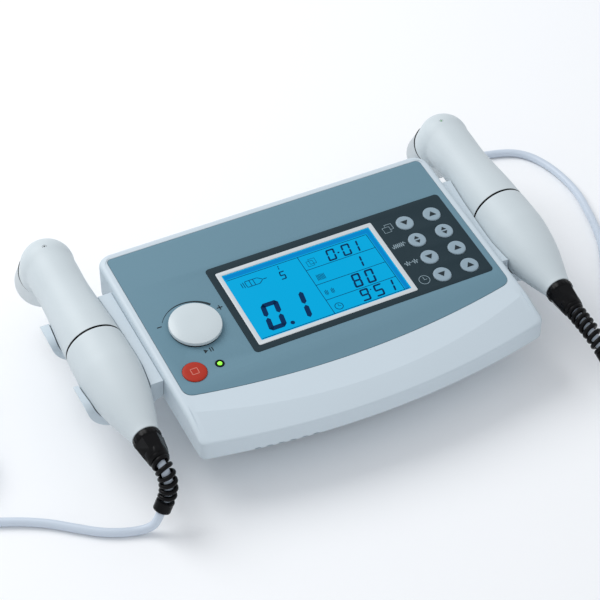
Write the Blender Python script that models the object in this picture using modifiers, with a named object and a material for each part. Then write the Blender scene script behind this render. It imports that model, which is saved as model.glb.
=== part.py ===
"""Two-channel ultrasound therapy console with its two applicators in side cradles.

Metres, +Z up.  X runs across the console, +Y to its rear.  The origin lies on the table under
the middle of the device.  The control panel leans towards the user, so everything on it is
parented to an empty at the middle of the panel's rear edge; each applicator has an empty at
the middle of its case seam, with the handle running forward along -Y and the head to the rear.
"""

from math import asin, ceil, cos, degrees, pi, radians, sin, tan

import bmesh
import bpy
from mathutils import Matrix, Vector

MM = 0.001
GAP = 0.3 * MM                      # clearance between neighbouring pieces
WALL = 2.5 * MM                     # moulded wall thickness

# --- control panel -------------------------------------------------------------------------
PANEL_TILT = radians(7.2)
PANEL_REAR = Vector((0.0, 62.7, 74.0)) * MM     # middle of the overlay's rear edge
OVERLAY_HALF_WIDTH = 125.0 * MM
OVERLAY_FRONT = -145.6 * MM         # at the middle of the bowed front edge
OVERLAY_SAG = 13.1 * MM
OVERLAY_THICKNESS = 0.5 * MM
OVERLAY_TOP = -0.1 * MM
POCKET_FLOOR = -0.9 * MM
TOP_WALL_UNDER = 3.4 * MM           # panel plane to the underside of the top wall
BEZEL_BOX = (-66.5 * MM, -118.2 * MM, 120.4 * MM, -36.2 * MM)
BEZEL_TOP = 0.1 * MM
FRAME_BOX = (-61.4 * MM, -113.2 * MM, 61.8 * MM, -42.5 * MM)
FRAME_BORDER = 3.4 * MM
FRAME_TOP = 0.4 * MM
KEY_COLUMNS = (84.4 * MM, 106.6 * MM)
KEY_FIRST_ROW = -52.9 * MM
KEY_PITCH = 18.13 * MM
KEY_RADIUS = 6.55 * MM
KEY_ROWS = ("program", "frequency", "duty", "timer")
STOP_PLACE = (-110.9 * MM, -116.3 * MM)
STOP_RADIUS = 8.5 * MM
KNOB_PLACE = (-93.8 * MM, -80.2 * MM)
KNOB_RADIUS = 18.5 * MM
LED_PLACE = (-92.5 * MM, -116.3 * MM)

# --- console case --------------------------------------------------------------------------
CASE_HALF_WIDTH = 131.2 * MM
SHOULDER = 3.6 * MM                 # rounding between the panel and the side walls
CASE_REAR = PANEL_REAR.y + 6.2 * MM
CASE_FRONT = PANEL_REAR.y - 184.0 * MM
CASE_SAG = 16.5 * MM
PLATE_FRONT = PANEL_REAR.y - 168.5 * MM         # where the panel breaks into the front slope
PLATE_SAG = 22.7 * MM
SLOPE = radians(20.7)
BAND_REAR_Z = 49.7 * MM             # lower edge of the upper case under the panel's rear edge
BAND_TILT = radians(4.85)
BAND_SAG = 2.5 * MM                 # the lower edge drops by this towards the side walls
BASE_Z = 6.0 * MM                   # underside of the lower case, on its feet
BASE_SIDE_INSET = 25.0 * MM
BASE_FRONT_INSET = 29.0 * MM

# --- applicators and cradles ---------------------------------------------------------------
SEAM_X = {"left": -160.5 * MM, "right": 158.4 * MM}
YAW = {"left": 0.0, "right": radians(-1.5)}     # the right applicator lies a little askew
LIGHT_ROLL = {"left": radians(-3), "right": radians(-11)}
SEAM_Y = PANEL_REAR.y - 57.5 * MM
SEAM_Z = 58.4 * MM
HANDLE_TILT = radians(5.7)
HEAD_ALONG = 81.4 * MM              # from the seam to the head's axis
HEAD_TILT = radians(24.0)           # the head faces down and a little away from the handle
HEAD_RADIUS = 19.3 * MM
RING_RADIUS = 18.8 * MM
RING_DEPTH = 12.9 * MM              # along the head's axis
FACE_DEPTH = 33.7 * MM
GLAND_END = 109.0 * MM
BORE_RADIUS = 22.3 * MM
CRADLE_RADIUS = 25.6 * MM
CRADLE_FRONT = -52.5 * MM
CRADLE_REAR = 35.5 * MM
LIP_HEIGHT = 3.0 * MM
ARM_END = -176                      # degrees round the handle from the wall side, from below
ARM_GAP = (-24.0 * MM, 10.5 * MM)

# --- rear connectors -----------------------------------------------------------------------
REAR_FACE = CASE_REAR - 0.8 * MM    # outer face of the lower case's rear wall
SOCKET_Z = 23.0 * MM
LEFT_SOCKET_X = 20.0 * MM
RIGHT_SOCKET_X = 75.0 * MM
INLET_X = -95.0 * MM
SWITCH_X = -62.0 * MM
ROCKER_TILT = radians(8)            # the rocker rests this far either side of square
SCREW_PLACES = (("case_screw_left", -112 * MM), ("case_screw_right", 112 * MM))
SCREW_Z = 40.0 * MM

# --- leads ---------------------------------------------------------------------------------
LEAD_RADIUS = 3.0 * MM
FERRULE = 8.0 * MM                  # straight end of the bend relief
COIL_RADIUS = 30.0 * MM             # middle of the turns
LEFT_COIL = Vector((-288.0, -4.0, 0.0)) * MM
RIGHT_COIL = Vector((256.0, -88.0, 0.0)) * MM
PLUG_SLEEVE = 33.5 * MM             # from a plug's shoulder back to where the lead enters it
LEFT_PLUG = Vector((-241.0, 46.0, 8.1)) * MM
LEFT_PLUG_TURN = (0, radians(90), 0)

MATERIALS = {
    # name: (colour, roughness, metallic)
    "white_case": ((0.76, 0.82, 0.86), 0.42, 0.0),
    "white_applicator": ((0.78, 0.84, 0.87), 0.35, 0.0),
    "overlay_blue": ((0.16, 0.29, 0.37), 0.45, 0.0),
    "dark_slate": ((0.026, 0.045, 0.055), 0.4, 0.0),
    "silver_frame": ((0.62, 0.66, 0.70), 0.35, 0.3),
    "display_glass": ((0.02, 0.40, 0.85), 0.08, 0.0),
    "key_grey": ((0.28, 0.38, 0.45), 0.5, 0.0),
    "stop_red": ((0.45, 0.02, 0.01), 0.4, 0.0),
    "knob_white": ((0.80, 0.84, 0.87), 0.25, 0.0),
    "black_plastic": ((0.012, 0.013, 0.015), 0.45, 0.0),
    "black_rubber": ((0.015, 0.015, 0.016), 0.75, 0.0),
    "led_green": ((0.25, 0.70, 0.05), 0.2, 0.0),
    "board_green": ((0.02, 0.16, 0.07), 0.5, 0.0),
    "steel": ((0.55, 0.56, 0.58), 0.3, 1.0),
    "aluminium": ((0.72, 0.74, 0.76), 0.28, 1.0),
    "ceramic": ((0.75, 0.68, 0.50), 0.6, 0.0),
    "copper_winding": ((0.50, 0.20, 0.08), 0.4, 0.8),
    "lead_grey": ((0.70, 0.74, 0.78), 0.4, 0.0),
}


# === scene and object helpers ==============================================================

def clear_scene():
    for obj in list(bpy.data.objects):
        bpy.data.objects.remove(obj, do_unlink=True)


def new_collection(name, hidden=False):
    made = bpy.data.collections.new(name)
    made.hide_render = hidden
    bpy.context.scene.collection.children.link(made)
    return made


def make_material(name):
    colour, roughness, metallic = MATERIALS[name]
    made = bpy.data.materials.get(name) or bpy.data.materials.new(name)
    made.use_nodes = True
    shader = made.node_tree.nodes["Principled BSDF"]
    shader.inputs["Base Color"].default_value = (*colour, 1.0)
    shader.inputs["Roughness"].default_value = roughness
    shader.inputs["Metallic"].default_value = metallic
    return made


def add_object(name, data, material=None, parent=None, place=(0, 0, 0), turn=(0, 0, 0)):
    """Links a mesh or curve as a part, or as a cutter when it has no material."""
    obj = bpy.data.objects.new(name, data)
    obj.location = place
    obj.rotation_euler = turn
    obj.parent = parent
    if material:
        obj.data.materials.append(make_material(material))
        PARTS.objects.link(obj)
    else:
        obj.hide_render = True
        obj.display_type = "WIRE"
        CUTTERS.objects.link(obj)
    return obj


def add_empty(name, place, turn=(0, 0, 0)):
    empty = bpy.data.objects.new(name, None)
    empty.location = place
    empty.rotation_euler = turn
    PARTS.objects.link(empty)
    return empty


def boolean(obj, other, operation="DIFFERENCE"):
    modifier = obj.modifiers.new(other.name, "BOOLEAN")
    modifier.operation = operation
    modifier.object = other
    return obj


def smooth(obj, angle=35):
    obj.data.shade_smooth()
    if obj.type == "MESH":
        obj.data.set_sharp_from_angle(angle=radians(angle))
    return obj


# === shape builders ========================================================================

def circle(radius, count, centre=(0.0, 0.0)):
    return [(centre[0] + radius * cos(2 * pi * i / count), centre[1] + radius * sin(2 * pi * i / count))
            for i in range(count)]


def rounded_box(box, radius, grow=0.0, corner_steps=3):
    """Outline of the box (low x, low y, high x, high y) grown on every side, with round corners."""
    x0, y0, x1, y1 = box[0] - grow, box[1] - grow, box[2] + grow, box[3] + grow
    corners = ((x1 - radius, y1 - radius, 0), (x0 + radius, y1 - radius, 90),
               (x0 + radius, y0 + radius, 180), (x1 - radius, y0 + radius, 270))
    outline = []
    for cx, cy, start in corners:
        for step in range(corner_steps + 1):
            angle = radians(start + 90 * step / corner_steps)
            outline.append((cx + radius * cos(angle), cy + radius * sin(angle)))
    return outline


def bowed_outline(half_width, rear, kink, front, sag, rear_radius, front_radius):
    """Plan outline with round corners and a bowed front edge, from the rear right corner round.

    Each outline has the same number of points in the same order, so two of them can be lofted.
    kink is the place along the side where the panel breaks into the front slope.
    """
    def front_y(x):
        return front + sag * (x / half_width) ** 2

    right = []
    for step in range(5):
        angle = radians(90 - 90 * step / 4)
        right.append((half_width - rear_radius + rear_radius * cos(angle),
                      rear - rear_radius + rear_radius * sin(angle)))
    start = Vector((half_width, front_y(half_width) + front_radius))
    right.append((half_width, max(kink, start.y + 2 * MM)))
    corner = Vector((half_width, front_y(half_width)))
    end = Vector((half_width - front_radius, front_y(half_width - front_radius)))
    for step in range(5):
        t = step / 4
        right.append(tuple(start * (1 - t) ** 2 + corner * 2 * t * (1 - t) + end * t * t))
    for step in range(1, 7):
        x = (half_width - front_radius) * (1 - step / 6)
        right.append((x, front_y(x)))
    return right + [(-x, y) for x, y in reversed(right[:-1])]


def loft_mesh(name, rings):
    """Closed mesh through rings of points of equal count, with a flat cap on the first and last."""
    mesh = bpy.data.meshes.new(name)
    bm = bmesh.new()
    loops = [[bm.verts.new(point) for point in ring] for ring in rings]
    for lower, upper in zip(loops, loops[1:]):
        for i in range(len(lower)):
            j = (i + 1) % len(lower)
            bm.faces.new((lower[i], lower[j], upper[j], upper[i]))
    bm.faces.new(loops[0])
    bm.faces.new(loops[-1])
    bmesh.ops.recalc_face_normals(bm, faces=bm.faces)
    bmesh.ops.triangulate(bm, faces=bm.faces)
    bm.to_mesh(mesh)
    bm.free()
    return mesh


def plate_curve(name, outlines, low, high):
    """2D curve filled between its outlines, from height low to high; inner outlines are holes."""
    curve = bpy.data.curves.new(name, "CURVE")
    curve.dimensions = "2D"
    curve.fill_mode = "BOTH"
    curve.extrude = (high - low) / 2
    for outline in outlines:
        spline = curve.splines.new("POLY")
        spline.points.add(len(outline) - 1)
        for point, (x, y) in zip(spline.points, outline):
            point.co = (x, y, 0, 1)
        spline.use_cyclic_u = True
    return curve


def plate_mesh(name, outlines, low, high):
    """The same plate as a mesh with its caps welded, standing on height low."""
    guide = bpy.data.objects.new(name, plate_curve(name, outlines, low, high))
    bpy.context.scene.collection.objects.link(guide)
    graph = bpy.context.evaluated_depsgraph_get()
    mesh = bpy.data.meshes.new_from_object(guide.evaluated_get(graph))
    mesh.transform(Matrix.Translation((0, 0, (low + high) / 2)))
    bpy.data.objects.remove(guide, do_unlink=True)
    bm = bmesh.new()
    bm.from_mesh(mesh)
    bmesh.ops.remove_doubles(bm, verts=bm.verts, dist=1e-6)
    bm.to_mesh(mesh)
    bm.free()
    mesh.name = name
    return mesh


def box_mesh(name, low, high):
    mesh = bpy.data.meshes.new(name)
    bm = bmesh.new()
    bmesh.ops.create_cube(bm, size=1.0)
    low, high = Vector(low), Vector(high)
    size, middle = high - low, (low + high) / 2
    bmesh.ops.transform(bm, verts=bm.verts, matrix=Matrix.Translation(middle) @ Matrix.Diagonal((*size, 1)))
    bm.to_mesh(mesh)
    bm.free()
    return mesh


def cylinder_mesh(name, radius, low, high, sides=20, top_radius=None):
    """Cylinder or cone along Z."""
    mesh = bpy.data.meshes.new(name)
    bm = bmesh.new()
    bmesh.ops.create_cone(bm, cap_ends=True, segments=sides, radius1=radius,
                          radius2=radius if top_radius is None else top_radius, depth=high - low)
    bmesh.ops.translate(bm, verts=bm.verts, vec=(0, 0, (low + high) / 2))
    bm.to_mesh(mesh)
    bm.free()
    return mesh


def turned(name, profile, material=None, steps=24, **where):
    """Turns a closed (radius, height) profile round Z; it runs down its outer side first."""
    mesh = bpy.data.meshes.new(name)
    points = [(radius, 0.0, height) for radius, height in profile]
    on_axis = profile[0][0] == 0 and profile[-1][0] == 0
    edges = [(i, i + 1) for i in range(len(points) - 1)]
    if not on_axis:
        edges.append((len(points) - 1, 0))
    mesh.from_pydata(points, edges, [])
    obj = add_object(name, mesh, material, **where)
    screw = obj.modifiers.new("turn", "SCREW")
    screw.steps = steps
    screw.render_steps = steps
    screw.use_merge_vertices = True
    screw.merge_threshold = 0.00001
    return obj


def handle_mesh(name, stations, sides=20):
    """Round body along Y through (y, radius) stations."""
    rings = [[(radius * cos(2 * pi * i / sides), y, radius * sin(2 * pi * i / sides))
              for i in range(sides)] for y, radius in stations]
    return loft_mesh(name, rings)


def smooth_route(route, spacing):
    """Points every spacing along a Catmull-Rom curve through the route's own points."""
    ends = [route[0] * 2 - route[1], *route, route[-1] * 2 - route[-2]]
    dense = []
    for a, b, c, d in zip(ends, ends[1:], ends[2:], ends[3:]):
        for step in range(12):
            t = step / 12
            dense.append(0.5 * (2 * b + (c - a) * t + (2 * a - 5 * b + 4 * c - d) * t * t
                                + (3 * b - a - 3 * c + d) * t ** 3))
    dense.append(route[-1])
    lengths = [0.0]
    for before, after in zip(dense, dense[1:]):
        lengths.append(lengths[-1] + (after - before).length)
    count = ceil(lengths[-1] / spacing)
    points, place = [], 0
    for i in range(count + 1):
        target = lengths[-1] * i / count
        while place < len(dense) - 2 and lengths[place + 1] < target:
            place += 1
        share = (target - lengths[place]) / (lengths[place + 1] - lengths[place])
        points.append(dense[place].lerp(dense[place + 1], share))
    return points


def tube(name, points, material, radii=None, radius=LEAD_RADIUS, resolution=2):
    """Round solid along the points, with its ends filled."""
    curve = bpy.data.curves.new(name, "CURVE")
    curve.dimensions = "3D"
    curve.bevel_depth = radius
    curve.bevel_resolution = resolution
    curve.use_fill_caps = True
    spline = curve.splines.new("POLY")
    spline.points.add(len(points) - 1)
    for i, point in enumerate(points):
        spline.points[i].co = (*point, 1)
        spline.points[i].radius = radii[i] / radius if radii else 1.0
    return add_object(name, curve, material)


# === console case ==========================================================================

def panel_z(y):
    """Height of the panel's plane."""
    return PANEL_REAR.z + (y - PANEL_REAR.y) * tan(PANEL_TILT)


def case_top_z(x, y):
    """Height of the case's upper skin: the panel, then the slope in front of it."""
    break_y = PLATE_FRONT + PLATE_SAG * (x / (CASE_HALF_WIDTH - SHOULDER)) ** 2
    if y >= break_y:
        return panel_z(y)
    return panel_z(break_y) - (break_y - y) * tan(SLOPE)


def band_z(x, y):
    """Height of the upper case's lower edge."""
    sag = BAND_SAG * (x / CASE_HALF_WIDTH) ** 2
    return BAND_REAR_Z + (y - PANEL_REAR.y) * tan(BAND_TILT) - sag


def wall_outline(inset, side_inset=None, front_inset=None, rear_inset=None):
    side = inset if side_inset is None else side_inset
    front = inset if front_inset is None else front_inset
    rear = inset if rear_inset is None else rear_inset
    kink = PLATE_FRONT + PLATE_SAG
    return bowed_outline(CASE_HALF_WIDTH - side, CASE_REAR - rear, kink, CASE_FRONT + front,
                         CASE_SAG, 10 * MM, 6.5 * MM)


def plate_outline(inset):
    kink = PLATE_FRONT + PLATE_SAG + 5 * MM
    return bowed_outline(CASE_HALF_WIDTH - SHOULDER - inset, CASE_REAR - SHOULDER - inset, kink,
                         PLATE_FRONT + inset, PLATE_SAG, 7 * MM, 4 * MM)


def upper_skin_rings():
    """Outer skin of the upper case, from its lower edge over the rounded shoulder to the panel."""
    rings = [[(x, y, band_z(x, y)) for x, y in wall_outline(0)]]
    for angle in (0, 30, 60, 90):
        inset = SHOULDER * (1 - cos(radians(angle)))
        drop = SHOULDER * (1 - sin(radians(angle)))
        ring = wall_outline(inset, front_inset=inset * 0.5)
        rings.append([(x, y, case_top_z(x, y) - drop) for x, y in ring])
    rings.append([(x, y, panel_z(y)) for x, y in plate_outline(0.6 * MM)])
    return rings


def upper_cavity_rings():
    drop = WALL + SHOULDER
    outer = wall_outline(WALL)
    return [
        [(x, y, band_z(x, y) - 2 * MM) for x, y in outer],
        [(x, y, case_top_z(x, y) - drop) for x, y in outer],
        [(x, y, panel_z(y) - TOP_WALL_UNDER) for x, y in plate_outline(5 * MM)],
    ]


def panel_holes(panel):
    """Cutters through the top wall for what passes it, as (name, mesh, place)."""
    frame = rounded_box(FRAME_BOX, 1.5 * MM, -FRAME_BORDER - 2 * MM)
    depth = TOP_WALL_UNDER + 3 * MM
    yield "display_cutter", plate_mesh("display_cutter", [frame], -depth, 1 * MM), (0, 0, 0)
    for column in range(2):
        for row in range(4):
            place = (KEY_COLUMNS[column], KEY_FIRST_ROW - KEY_PITCH * row, 0)
            name = f"stem_cutter_{column}_{row}"
            yield name, cylinder_mesh(name, 2.8 * MM, -depth, 1 * MM, 12), place
    for name, radius, place in (("stop_cutter", 2.8, STOP_PLACE), ("shaft_cutter", 4.0, KNOB_PLACE),
                                ("led_cutter", 2.0, LED_PLACE)):
        yield name, cylinder_mesh(name, radius * MM, -depth, 1 * MM, 12), (*place, 0)


def overlay_outline(grow):
    return bowed_outline(OVERLAY_HALF_WIDTH + grow, grow, -60 * MM, OVERLAY_FRONT - grow,
                         OVERLAY_SAG, 3.5 * MM, 7 * MM)


def make_upper_housing(panel):
    housing = add_object("upper_housing", loft_mesh("upper_housing", upper_skin_rings()), "white_case")
    boolean(housing, add_object("upper_cavity", loft_mesh("upper_cavity", upper_cavity_rings())))
    pocket = plate_mesh("overlay_pocket", [overlay_outline(GAP)], POCKET_FLOOR, 3 * MM)
    boolean(housing, add_object("overlay_pocket", pocket, parent=panel))
    for name, mesh, place in panel_holes(panel):
        boolean(housing, add_object(name, mesh, parent=panel, place=place))
    for i in range(6):
        x = (-96 + 8 * i) * MM
        y = CASE_FRONT + CASE_SAG * (x / CASE_HALF_WIDTH) ** 2
        z = band_z(x, y) + 0.6 * MM
        slot = box_mesh(f"front_slot_{i}", (x, y - 2 * MM, z), (x + 5 * MM, y + 6 * MM, z + 1.8 * MM))
        boolean(housing, add_object(f"front_slot_{i}", slot))
    return smooth(housing, 25)


def make_lower_housing():
    base = dict(side_inset=BASE_SIDE_INSET, front_inset=BASE_FRONT_INSET, rear_inset=0.8 * MM)
    outer = [[(x, y, BASE_Z) for x, y in wall_outline(0, **base)],
             [(x, y, band_z(x, y) - GAP) for x, y in wall_outline(0.8 * MM)]]
    inner_base = {key: value + WALL for key, value in base.items()}
    inner = [[(x, y, BASE_Z + WALL) for x, y in wall_outline(0, **inner_base)],
             [(x, y, band_z(x, y) + 1 * MM) for x, y in wall_outline(0.8 * MM + WALL)]]
    housing = add_object("lower_housing", loft_mesh("lower_housing", outer), "white_case")
    boolean(housing, add_object("lower_cavity", loft_mesh("lower_cavity", inner)))
    holes = (("left_socket_hole", LEFT_SOCKET_X, 8.0), ("right_socket_hole", RIGHT_SOCKET_X, 8.0),
             ("inlet_hole", INLET_X, 5.8))
    for name, x, radius in holes:
        boolean(housing, rear_cutter(name, x, SOCKET_Z, radius * MM))
    for name, x in SCREW_PLACES:
        boolean(housing, rear_cutter(name + "_hole", x, SCREW_Z, 1.9 * MM))
    boolean(housing, add_object("switch_hole", box_mesh(
        "switch_hole", (SWITCH_X - 6.5 * MM, REAR_FACE - 6 * MM, SOCKET_Z - 9.8 * MM),
        (SWITCH_X + 6.5 * MM, REAR_FACE + 3 * MM, SOCKET_Z + 9.8 * MM))))
    return smooth(housing, 25)


def rear_cutter(name, x, z, radius):
    """Round cutter through the rear wall."""
    mesh = cylinder_mesh(name, radius, -3 * MM, 6 * MM, 20)
    return add_object(name, mesh, place=(x, REAR_FACE, z), turn=(radians(90), 0, 0))


# === control panel =========================================================================

def make_panel(panel):
    holes = [rounded_box(BEZEL_BOX, 3 * MM, GAP), circle(STOP_RADIUS + GAP, 28, STOP_PLACE),
             circle(4.3 * MM, 16, KNOB_PLACE), circle(3.5 * MM, 16, LED_PLACE)]
    low = OVERLAY_TOP - OVERLAY_THICKNESS
    film = plate_mesh("front_overlay", [overlay_outline(0), *holes], low, OVERLAY_TOP)
    add_object("front_overlay", film, "overlay_blue", panel)
    key_holes = [circle(KEY_RADIUS + GAP, 24, (x, KEY_FIRST_ROW - KEY_PITCH * row))
                 for x in KEY_COLUMNS for row in range(4)]
    window = rounded_box(FRAME_BOX, 1.5 * MM, GAP)
    bezel = [rounded_box(BEZEL_BOX, 3 * MM), window, *key_holes]
    add_object("keypad_bezel", plate_mesh("keypad_bezel", bezel, low, BEZEL_TOP), "dark_slate", panel)
    border = [rounded_box(FRAME_BOX, 1.5 * MM), rounded_box(FRAME_BOX, 0.8 * MM, -FRAME_BORDER)]
    add_object("lcd_frame", plate_mesh("lcd_frame", border, low, FRAME_TOP), "silver_frame", panel)
    pane = [rounded_box(FRAME_BOX, 0.5 * MM, -FRAME_BORDER - GAP)]
    add_object("lcd_window", plate_mesh("lcd_window", pane, low, low + 0.5 * MM), "display_glass", panel)


def make_display_module(panel):
    """Backlit display: its glass stands up through the window in the top wall."""
    back = box_mesh("lcd_module", (FRAME_BOX[0] + 2 * MM, FRAME_BOX[1] + 2 * MM, -11 * MM),
                    (FRAME_BOX[2] - 2 * MM, FRAME_BOX[3] - 2 * MM, -3.8 * MM))
    module = add_object("lcd_module", back, "dark_slate", panel)
    inset = FRAME_BORDER + 2.6 * MM
    glass = box_mesh("lcd_glass", (FRAME_BOX[0] + inset, FRAME_BOX[1] + inset, -6 * MM),
                     (FRAME_BOX[2] - inset, FRAME_BOX[3] - inset, POCKET_FLOOR))
    boolean(module, add_object("lcd_glass", glass, parent=panel), "UNION")


def button_profile(radius, top, stem_radius, stem_end):
    """Flat cap with a softened edge on a thin stem."""
    under = -0.3 * MM
    return [(0, top), (radius - 1.0 * MM, top - 0.05 * MM), (radius - 0.3 * MM, top - 0.25 * MM),
            (radius, top - 0.6 * MM), (radius, under), (stem_radius, under), (stem_radius, stem_end),
            (0, stem_end)]


def make_keys(panel):
    for row, label in enumerate(KEY_ROWS):
        for x, side in zip(KEY_COLUMNS, ("down", "up")):
            key = turned(f"{label}_{side}_key", button_profile(KEY_RADIUS, 0.9 * MM, 2.2 * MM, -5 * MM),
                         "key_grey", steps=20, parent=panel, place=(x, KEY_FIRST_ROW - KEY_PITCH * row, 0))
            smooth(key)
    stop = turned("stop_key", button_profile(STOP_RADIUS, 0.9 * MM, 2.2 * MM, -5 * MM), "stop_red",
                  parent=panel, place=(*STOP_PLACE, 0))
    smooth(stop)


def make_knob(panel):
    crown, rim, under = 5.4 * MM, 3.4 * MM, 0.9 * MM
    profile = [(0, crown)]
    for share in (0.35, 0.65, 0.85, 0.95):
        profile.append((KNOB_RADIUS * share, crown - (crown - rim) * share ** 4))
    profile += [(KNOB_RADIUS, rim - 0.6 * MM), (KNOB_RADIUS, under + 0.4 * MM),
                (KNOB_RADIUS - 0.6 * MM, under), (3.2 * MM, under), (3.2 * MM, 4.1 * MM), (0, 4.1 * MM)]
    smooth(turned("knob", profile, "knob_white", steps=32, parent=panel, place=(*KNOB_PLACE, 0)))
    shaft = [(0, 3.1 * MM), (2.6 * MM, 3.1 * MM), (2.9 * MM, 2.8 * MM), (2.9 * MM, -9 * MM), (0, -9 * MM)]
    smooth(turned("encoder_shaft", shaft, "steel", steps=16, parent=panel, place=(*KNOB_PLACE, 0)))
    outline = rounded_box((-7 * MM, -7 * MM, 7 * MM, 7 * MM), 0.6 * MM, corner_steps=1)
    body = plate_mesh("encoder_body", [outline, circle(3.2 * MM, 16)], -11 * MM, -4.2 * MM)
    add_object("encoder_body", body, "black_plastic", panel, (*KNOB_PLACE, 0))


def make_status_led(panel):
    profile = [(0, 0.9 * MM), (0.9 * MM, 0.75 * MM), (1.5 * MM, 0.35 * MM), (3.2 * MM, 0.25 * MM),
               (3.2 * MM, -0.55 * MM), (1.7 * MM, -0.55 * MM), (1.7 * MM, -6 * MM), (0, -6 * MM)]
    smooth(turned("status_led", profile, "led_green", steps=16, parent=panel, place=(*LED_PLACE, 0)))


# === inside the case =======================================================================

def make_boards(panel):
    """One board behind the panel's keys, with a window for the display, and one on the floor."""
    board = (-120 * MM, KEY_FIRST_ROW - 3 * KEY_PITCH - 18 * MM, 118 * MM, -32 * MM)
    at_encoder = (*KNOB_PLACE, *KNOB_PLACE)
    front = [rounded_box(board, 2 * MM, corner_steps=1),
             rounded_box(FRAME_BOX, 1 * MM, -1 * MM, corner_steps=1),
             rounded_box(at_encoder, 1 * MM, 8 * MM, corner_steps=1)]
    add_object("front_board", plate_mesh("front_board", front, -8 * MM, -6.4 * MM), "board_green", panel)
    floor = BASE_Z + WALL
    main_board = add_object("main_board", box_mesh("main_board", (-85 * MM, -50 * MM, floor + 5 * MM),
                                                   (85 * MM, 40 * MM, floor + 6.6 * MM)), "board_green")
    for i, (x, y) in enumerate(((-78, -44), (78, -44), (-78, 34), (78, 34))):
        post = cylinder_mesh(f"board_post_{i}", 3 * MM, floor + GAP, floor + 5.5 * MM, 12)
        boolean(main_board, add_object(f"board_post_{i}", post, place=(x * MM, y * MM, 0)), "UNION")


def make_power_stage():
    """Output transformer and finned heat sink of the ultrasound drive, standing on the board."""
    top = BASE_Z + WALL + 6.6 * MM + GAP
    ring = [(14 * MM, top + 12 * MM), (15.5 * MM, top + 10 * MM), (15.5 * MM, top + 2 * MM), (14 * MM, top),
            (8 * MM, top), (6.5 * MM, top + 2 * MM), (6.5 * MM, top + 10 * MM), (8 * MM, top + 12 * MM)]
    smooth(turned("output_transformer", ring, "copper_winding", steps=20, place=(40 * MM, -15 * MM, 0)))
    sink = [(-25, 0), (25, 0), (25, 3)]
    for i in range(6):
        right = 23 - 9 * i
        sink += [(right, 3), (right, 15), (right - 2, 15), (right - 2, 3)]
    sink.append((-25, 3))
    sink = [(x * MM, z * MM) for x, z in sink]
    mesh = plate_mesh("heat_sink", [sink], 0, 34 * MM)
    add_object("heat_sink", mesh, "aluminium", place=(-35 * MM, 20 * MM, top), turn=(radians(90), 0, 0))


# === rear wall =============================================================================

def make_socket(name, x):
    """Round applicator socket: a flange outside the wall and a blind barrel through it."""
    profile = [(9.5, 1.9), (9.5, 0.3), (7.6, 0.3), (7.6, -14), (0, -14)]
    bore = [(0, -8), (5, -8), (5, 1.9)]
    points = [(radius * MM, height * MM) for radius, height in bore + profile]
    obj = turned(name, points, "steel", steps=20, place=(x, REAR_FACE, SOCKET_Z), turn=(radians(-90), 0, 0))
    return smooth(obj)


def make_inlet():
    """Low-voltage jack for the mains adaptor."""
    profile = [(0, -9), (3.3, -9), (3.3, 1.4), (7, 1.4), (7, 0.3), (5.5, 0.3), (5.5, -13), (0, -13)]
    points = [(radius * MM, height * MM) for radius, height in profile]
    smooth(turned("dc_inlet", points, "black_plastic", steps=20, place=(INLET_X, REAR_FACE, SOCKET_Z),
                  turn=(radians(-90), 0, 0)))


def make_switch():
    """Rocker switch: its frame through the wall, and the rocker on a pivot across it."""
    outer, inner = (-8.5, -12, 8.5, 12), (-5.2, -8.6, 5.2, 8.6)
    flange = [rounded_box([v * MM for v in outer], 1 * MM), rounded_box([v * MM for v in inner], 0.4 * MM)]
    barrel = [rounded_box([v * MM for v in (-6.2, -9.5, 6.2, 9.5)], 0.4 * MM), flange[1]]
    turn = (radians(90), 0, radians(180))
    frame = add_object("switch_frame", plate_mesh("switch_frame", flange, GAP, 2 * MM), "black_plastic",
                       place=(SWITCH_X, REAR_FACE, SOCKET_Z), turn=turn)
    boolean(frame, add_object("switch_barrel", plate_mesh("switch_barrel", barrel, -13 * MM, 1 * MM),
                              place=(SWITCH_X, REAR_FACE, SOCKET_Z), turn=turn), "UNION")
    side = [(3.4, -7.6), (2.6, 0), (3.4, 7.6), (0.5, 7.8), (-4, 4), (-4, -4), (0.5, -7.8)]
    mesh = plate_mesh("power_rocker", [[(y * MM, z * MM) for y, z in side]], -4.9 * MM, 4.9 * MM)
    # the outline lies in the rocker's own Y-Z plane and the pivot runs along X
    mesh.transform(Matrix(((0, 0, 1, 0), (1, 0, 0, 0), (0, 1, 0, 0), (0, 0, 0, 1))))
    add_object("power_rocker", mesh, "black_plastic", place=(SWITCH_X, REAR_FACE - 0.6 * MM, SOCKET_Z),
               turn=(-ROCKER_TILT, 0, 0))


def make_rear_fittings():
    make_socket("left_socket", LEFT_SOCKET_X)
    make_socket("right_socket", RIGHT_SOCKET_X)
    make_inlet()
    make_switch()
    for name, x in SCREW_PLACES:
        profile = [(0, 2.0), (1.6, 1.8), (2.8, 1.0), (3.2, 0.3), (1.6, 0.3), (1.6, -9), (0, -9)]
        points = [(radius * MM, height * MM) for radius, height in profile]
        place = (x, REAR_FACE, SCREW_Z)
        smooth(turned(name, points, "steel", steps=12, place=place, turn=(radians(-90), 0, 0)))


def make_feet():
    profile = [(0, 5.7 * MM), (8 * MM, 5.7 * MM), (9 * MM, 4.7 * MM), (8.5 * MM, 0), (0, 0)]
    places = ((-80, -68), (80, -68), (-80, 48), (80, 48))
    for i, (x, y) in enumerate(places, 1):
        smooth(turned(f"foot_{i}", profile, "black_rubber", steps=20, place=(x * MM, y * MM, 0)))


# === cradles ===============================================================================

def arc(radius, start, end, steps):
    return [(radius * cos(radians(start + (end - start) * i / steps)),
             radius * sin(radians(start + (end - start) * i / steps))) for i in range(steps + 1)]


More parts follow.
